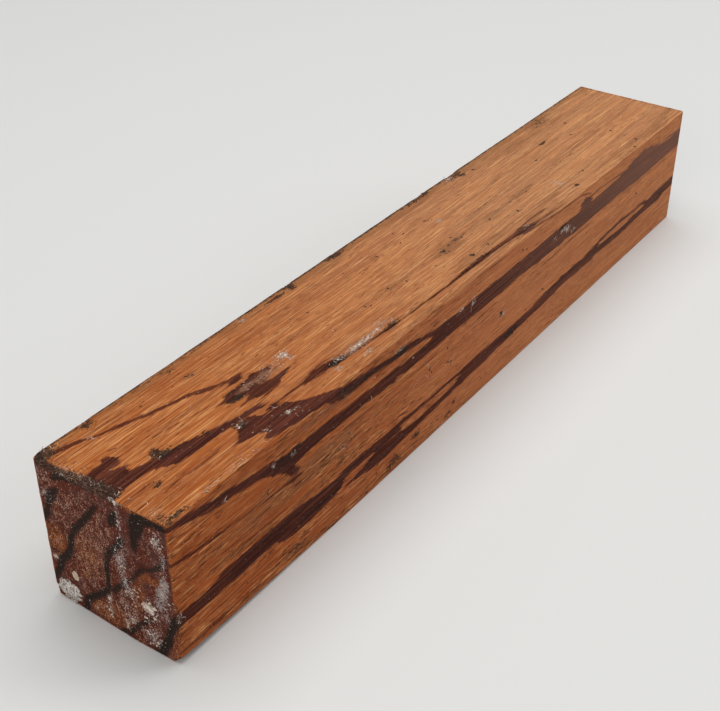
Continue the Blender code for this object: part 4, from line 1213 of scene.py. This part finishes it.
def add_tube(bm, path, radii, sides=4):
    """A small closed tube along a path of points in millimetres."""
    rings = []
    for i, (centre, radius) in enumerate(zip(path, radii)):
        way = path[min(i + 1, len(path) - 1)] - path[max(i - 1, 0)]
        side = np.cross(way, ASKEW)
        side = side / np.linalg.norm(side)
        other = np.cross(way / np.linalg.norm(way), side)
        ring = []
        for k in range(sides):
            turn = 2 * math.pi * k / sides
            point = centre + radius * (math.cos(turn) * side + math.sin(turn) * other)
            ring.append(bm.verts.new((point * MM).tolist()))
        rings.append(ring)
    bridge(bm, rings)
    bm.faces.new(rings[0][::-1])
    bm.faces.new(rings[-1])


def add_fibre(bm, foot, out, way, side, length, thickness, lift, rng):
    """A fibre that lies on the wood by its foot, bends, and stands off by its lift at the tip."""
    bend = rng.normal(0, FIBRE_BEND) * length
    path = []
    for u in np.linspace(0, 1, len(FIBRE_TAPER)):
        rise = FIBRE_CLEARANCE + lift * u * u
        path.append(foot + way * length * u + side * bend * u * u + out * rise)
    add_tube(bm, path, thickness * FIBRE_TAPER / 2)


def add_crumb(bm, centre, out, way, side, size, stretch, height, rng):
    """A low ragged heap."""
    phase = rng.uniform(0, 6.28)
    rings = []
    for share, level in CRUMB_LEVELS:
        ring = []
        for k in range(CRUMB_SIDES):
            turn = 2 * math.pi * k / CRUMB_SIDES
            reach = size * share * (1 + 0.22 * math.sin(2 * turn + phase) + rng.normal(0, 0.13))
            point = centre + reach * (stretch * math.cos(turn) * way + math.sin(turn) * side)
            ring.append(bm.verts.new(((point + out * height * level) * MM).tolist()))
        rings.append(ring)
    bridge(bm, rings)
    bm.faces.new(rings[-1])


def object_from(name, bm, material):
    mesh = bpy.data.meshes.new(name)
    bm.to_mesh(mesh)
    bm.free()
    mesh.materials.append(material)
    thing = bpy.data.objects.new(name, mesh)
    bpy.context.scene.collection.objects.link(thing)
    return thing


def finished(name, bm, material, node=None):
    """Turns a bmesh into a smooth piece that rides with the billet."""
    bmesh.ops.recalc_face_normals(bm, faces=bm.faces)
    piece = object_from(name, bm, material)
    piece.data.shade_smooth()
    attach(piece, "root")
    if node:
        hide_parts(node)
    return piece


def strewn(setting, clusters, rng):
    """Random places on the surface about each cluster's middle: face, place, way out, and its last values."""
    for face, marks in clusters:
        for first, second, reach_first, reach_second, count, *rest in marks:
            for _ in range(count):
                a = first * MARK_SCALE + rng.normal(0, reach_first / 2)
                b = second * MARK_SCALE + rng.normal(0, reach_second / 2)
                place, out = setting.spot(face, a, b)
                if place is not None:
                    yield face, place, out, rest


def build_fibres(setting, name, clusters, spread, material, seed):
    """Fibres strewn about given places."""
    rng = np.random.default_rng(seed)
    bm = bmesh.new()
    for face, foot, out, (length, lean) in strewn(setting, clusters, rng):
        way, side = directions(face, out, rng.normal(lean, spread) + math.pi * rng.integers(0, 2))
        long = length * rng.uniform(*SIZE_SPREAD)
        thickness = rng.uniform(*FIBRE_THICKNESS)
        lift = rng.uniform(0, FIBRE_LIFT) * long
        add_fibre(bm, foot, out, way, side, long, thickness, lift, rng)
    return finished(name, bm, material)


def build_crumbs(setting, name, clusters, spots, material, seed):
    """Crumbs strewn about given places, and flat spots with two smaller ones beside each."""
    rng = np.random.default_rng(seed)
    bm = bmesh.new()
    for face, centre, out, (size,) in strewn(setting, clusters, rng):
        way, side = directions(face, out, rng.uniform(0, 3.14))
        radius = size * rng.uniform(*SIZE_SPREAD)
        add_crumb(bm, centre, out, way, side, radius, 1.3, radius * 0.6, rng)
    for face, marks in spots:
        for first, second, size in marks:
            centre, out = setting.spot(face, first * MARK_SCALE, second * MARK_SCALE)
            way, side = directions(face, out, rng.normal(0, 0.3))
            add_crumb(bm, centre, out, way, side, size * 0.8, 1.4, SPOT_HEIGHT, rng)
            for _ in range(2):
                off = rng.normal(0, size * 1.1, 2)
                beside = centre + off[0] * way * 1.5 + off[1] * side
                add_crumb(bm, beside, out, way, side, size * 0.4, 1.2, SPOT_HEIGHT, rng)
    return finished(name, bm, material)


def build_sealer(name, node, centre, radii, thickness, lumps, seed, material):
    """A clot of end sealer: a lens with a ragged rim and a pitted, lumpy skin."""
    noise = Noise(seed)
    bm = bmesh.new()
    bmesh.ops.create_icosphere(bm, subdivisions=6, radius=1.0)
    unit = np.array([vertex.co for vertex in bm.verts])
    rim = noise(unit * (0, 1, 1), (0.5, 0.5, 0.5))[:, None]
    depth = np.where(unit[:, :1] < 0, thickness[0], thickness[1])
    stretch = [depth, np.full_like(depth, radii[0]), np.full_like(depth, radii[1])]
    shape = unit * np.concatenate(stretch, axis=1)
    shape[:, 1:] *= 1 + 0.16 * rim
    skin = noise(shape, (1.5, 1.5, 1.5)) * 0.6 + noise(shape, (0.6, 0.6, 0.6)) * 0.3
    skin += np.abs(noise(shape, (0.95, 0.95, 0.95))) * -0.35
    shape += unit * (skin * lumps)[:, None]
    points = shape + np.array(centre)
    points[:, 0] = np.maximum(points[:, 0], -HALF_LENGTH - SEALER_PROUD)
    points[:, 2] = np.maximum(points[:, 2], SEALER_CLEARANCE)
    for vertex, point in zip(bm.verts, points):
        vertex.co = Vector((point * MM).tolist())
    return finished(name, bm, material, node)


def plain(name, colour, roughness):
    s = Shader(name)
    s.feed(s.surface.inputs["Base Color"], colour)
    s.surface.inputs["Roughness"].default_value = roughness
    return s.material


def set_up(name, data, place, direction):
    """Puts a camera or a lamp at a place and points it along a direction."""
    thing = bpy.data.objects.new(name, data)
    thing.location = place
    thing.rotation_mode = "QUATERNION"
    thing.rotation_quaternion = Vector(direction).to_track_quat("-Z", "Y")
    bpy.context.scene.collection.objects.link(thing)
    return thing


def make_camera():
    """The photograph's camera: its place and direction come from the billet's six outline edges."""
    data = bpy.data.cameras.new("camera")
    data.sensor_width = SENSOR_WIDTH
    data.lens = LENS
    camera = set_up("camera", data, CAMERA_PLACE, CAMERA_DIRECTION)
    bpy.context.scene.camera = camera


def make_floor():
    bm = bmesh.new()
    bmesh.ops.create_grid(bm, x_segments=1, y_segments=1, size=4.0)
    floor = object_from("floor", bm, plain("floor_paint", (0.70, 0.70, 0.685), 0.7))


def area_light(name, place, target, size, power):
    data = bpy.data.lights.new(name, "AREA")
    data.shape = "DISK"
    data.size = size
    data.energy = power
    set_up(name, data, place, Vector(target) - Vector(place))


def make_light():
    world = bpy.data.worlds.new("world")
    bpy.context.scene.world = world
    world.use_nodes = True
    sky = world.node_tree.nodes["Background"]
    sky.inputs["Color"].default_value = (1.0, 1.0, 1.0, 1)
    sky.inputs["Strength"].default_value = 0.16
    area_light("softbox", (0.15, 0.1, 1.55), (0, 0, 0), 1.9, 24)
    area_light("fill", (-1.6, -0.35, 0.75), (-0.15, 0, 0.02), 1.2, 8)
    area_light("side", (1.0, -0.9, 0.8), (0.1, 0, 0.02), 0.8, 5.2)
    bpy.context.scene.view_settings.view_transform = "Standard"


make_camera()
make_light()
make_floor()

billet = build_billet()
billet.data.materials.append(wood_material())
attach(billet, "root")
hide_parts("wood_blank")

crust = sealer_material("sealer_crust", SEALER_WHITE, SEALER_GREY, 0.9)
cream = sealer_material("sealer_cream", DROP_CREAM, DROP_GREY, 0.25)
build_sealer("sealer_lump", "wax_lump", (-149.4, 16.6, 4.0), (5.0, 4.0), (0.55, 1.6), 0.65, 21, crust)
build_sealer("sealer_drop", "wax_drop", (-149.5, 13.6, 11.1), (1.35, 1.7), (0.45, 0.8), 0.2, 22, cream)

setting = Setting(billet)
pale = varied_material("sealer_fibres", (0.42, 0.32, 0.25), (0.84, 0.72, 0.63), 0.7)
torn = varied_material("torn_wood", (0.070, 0.038, 0.026), (0.27, 0.155, 0.10), 0.85)
dark = varied_material("dark_dirt", (0.030, 0.018, 0.012), (0.125, 0.058, 0.034), 0.8)
build_fibres(setting, "sealer_fibres", PALE_FIBRES, 0.8, pale, 31)
build_fibres(setting, "torn_fibres", TORN_FIBRES, 0.3, torn, 32)
build_crumbs(setting, "dark_crumbs", DARK_CRUMBS, DARK_SPOTS, dark, 33)
build_crumbs(setting, "sealer_crumbs", PALE_CRUMBS, [], pale, 34)
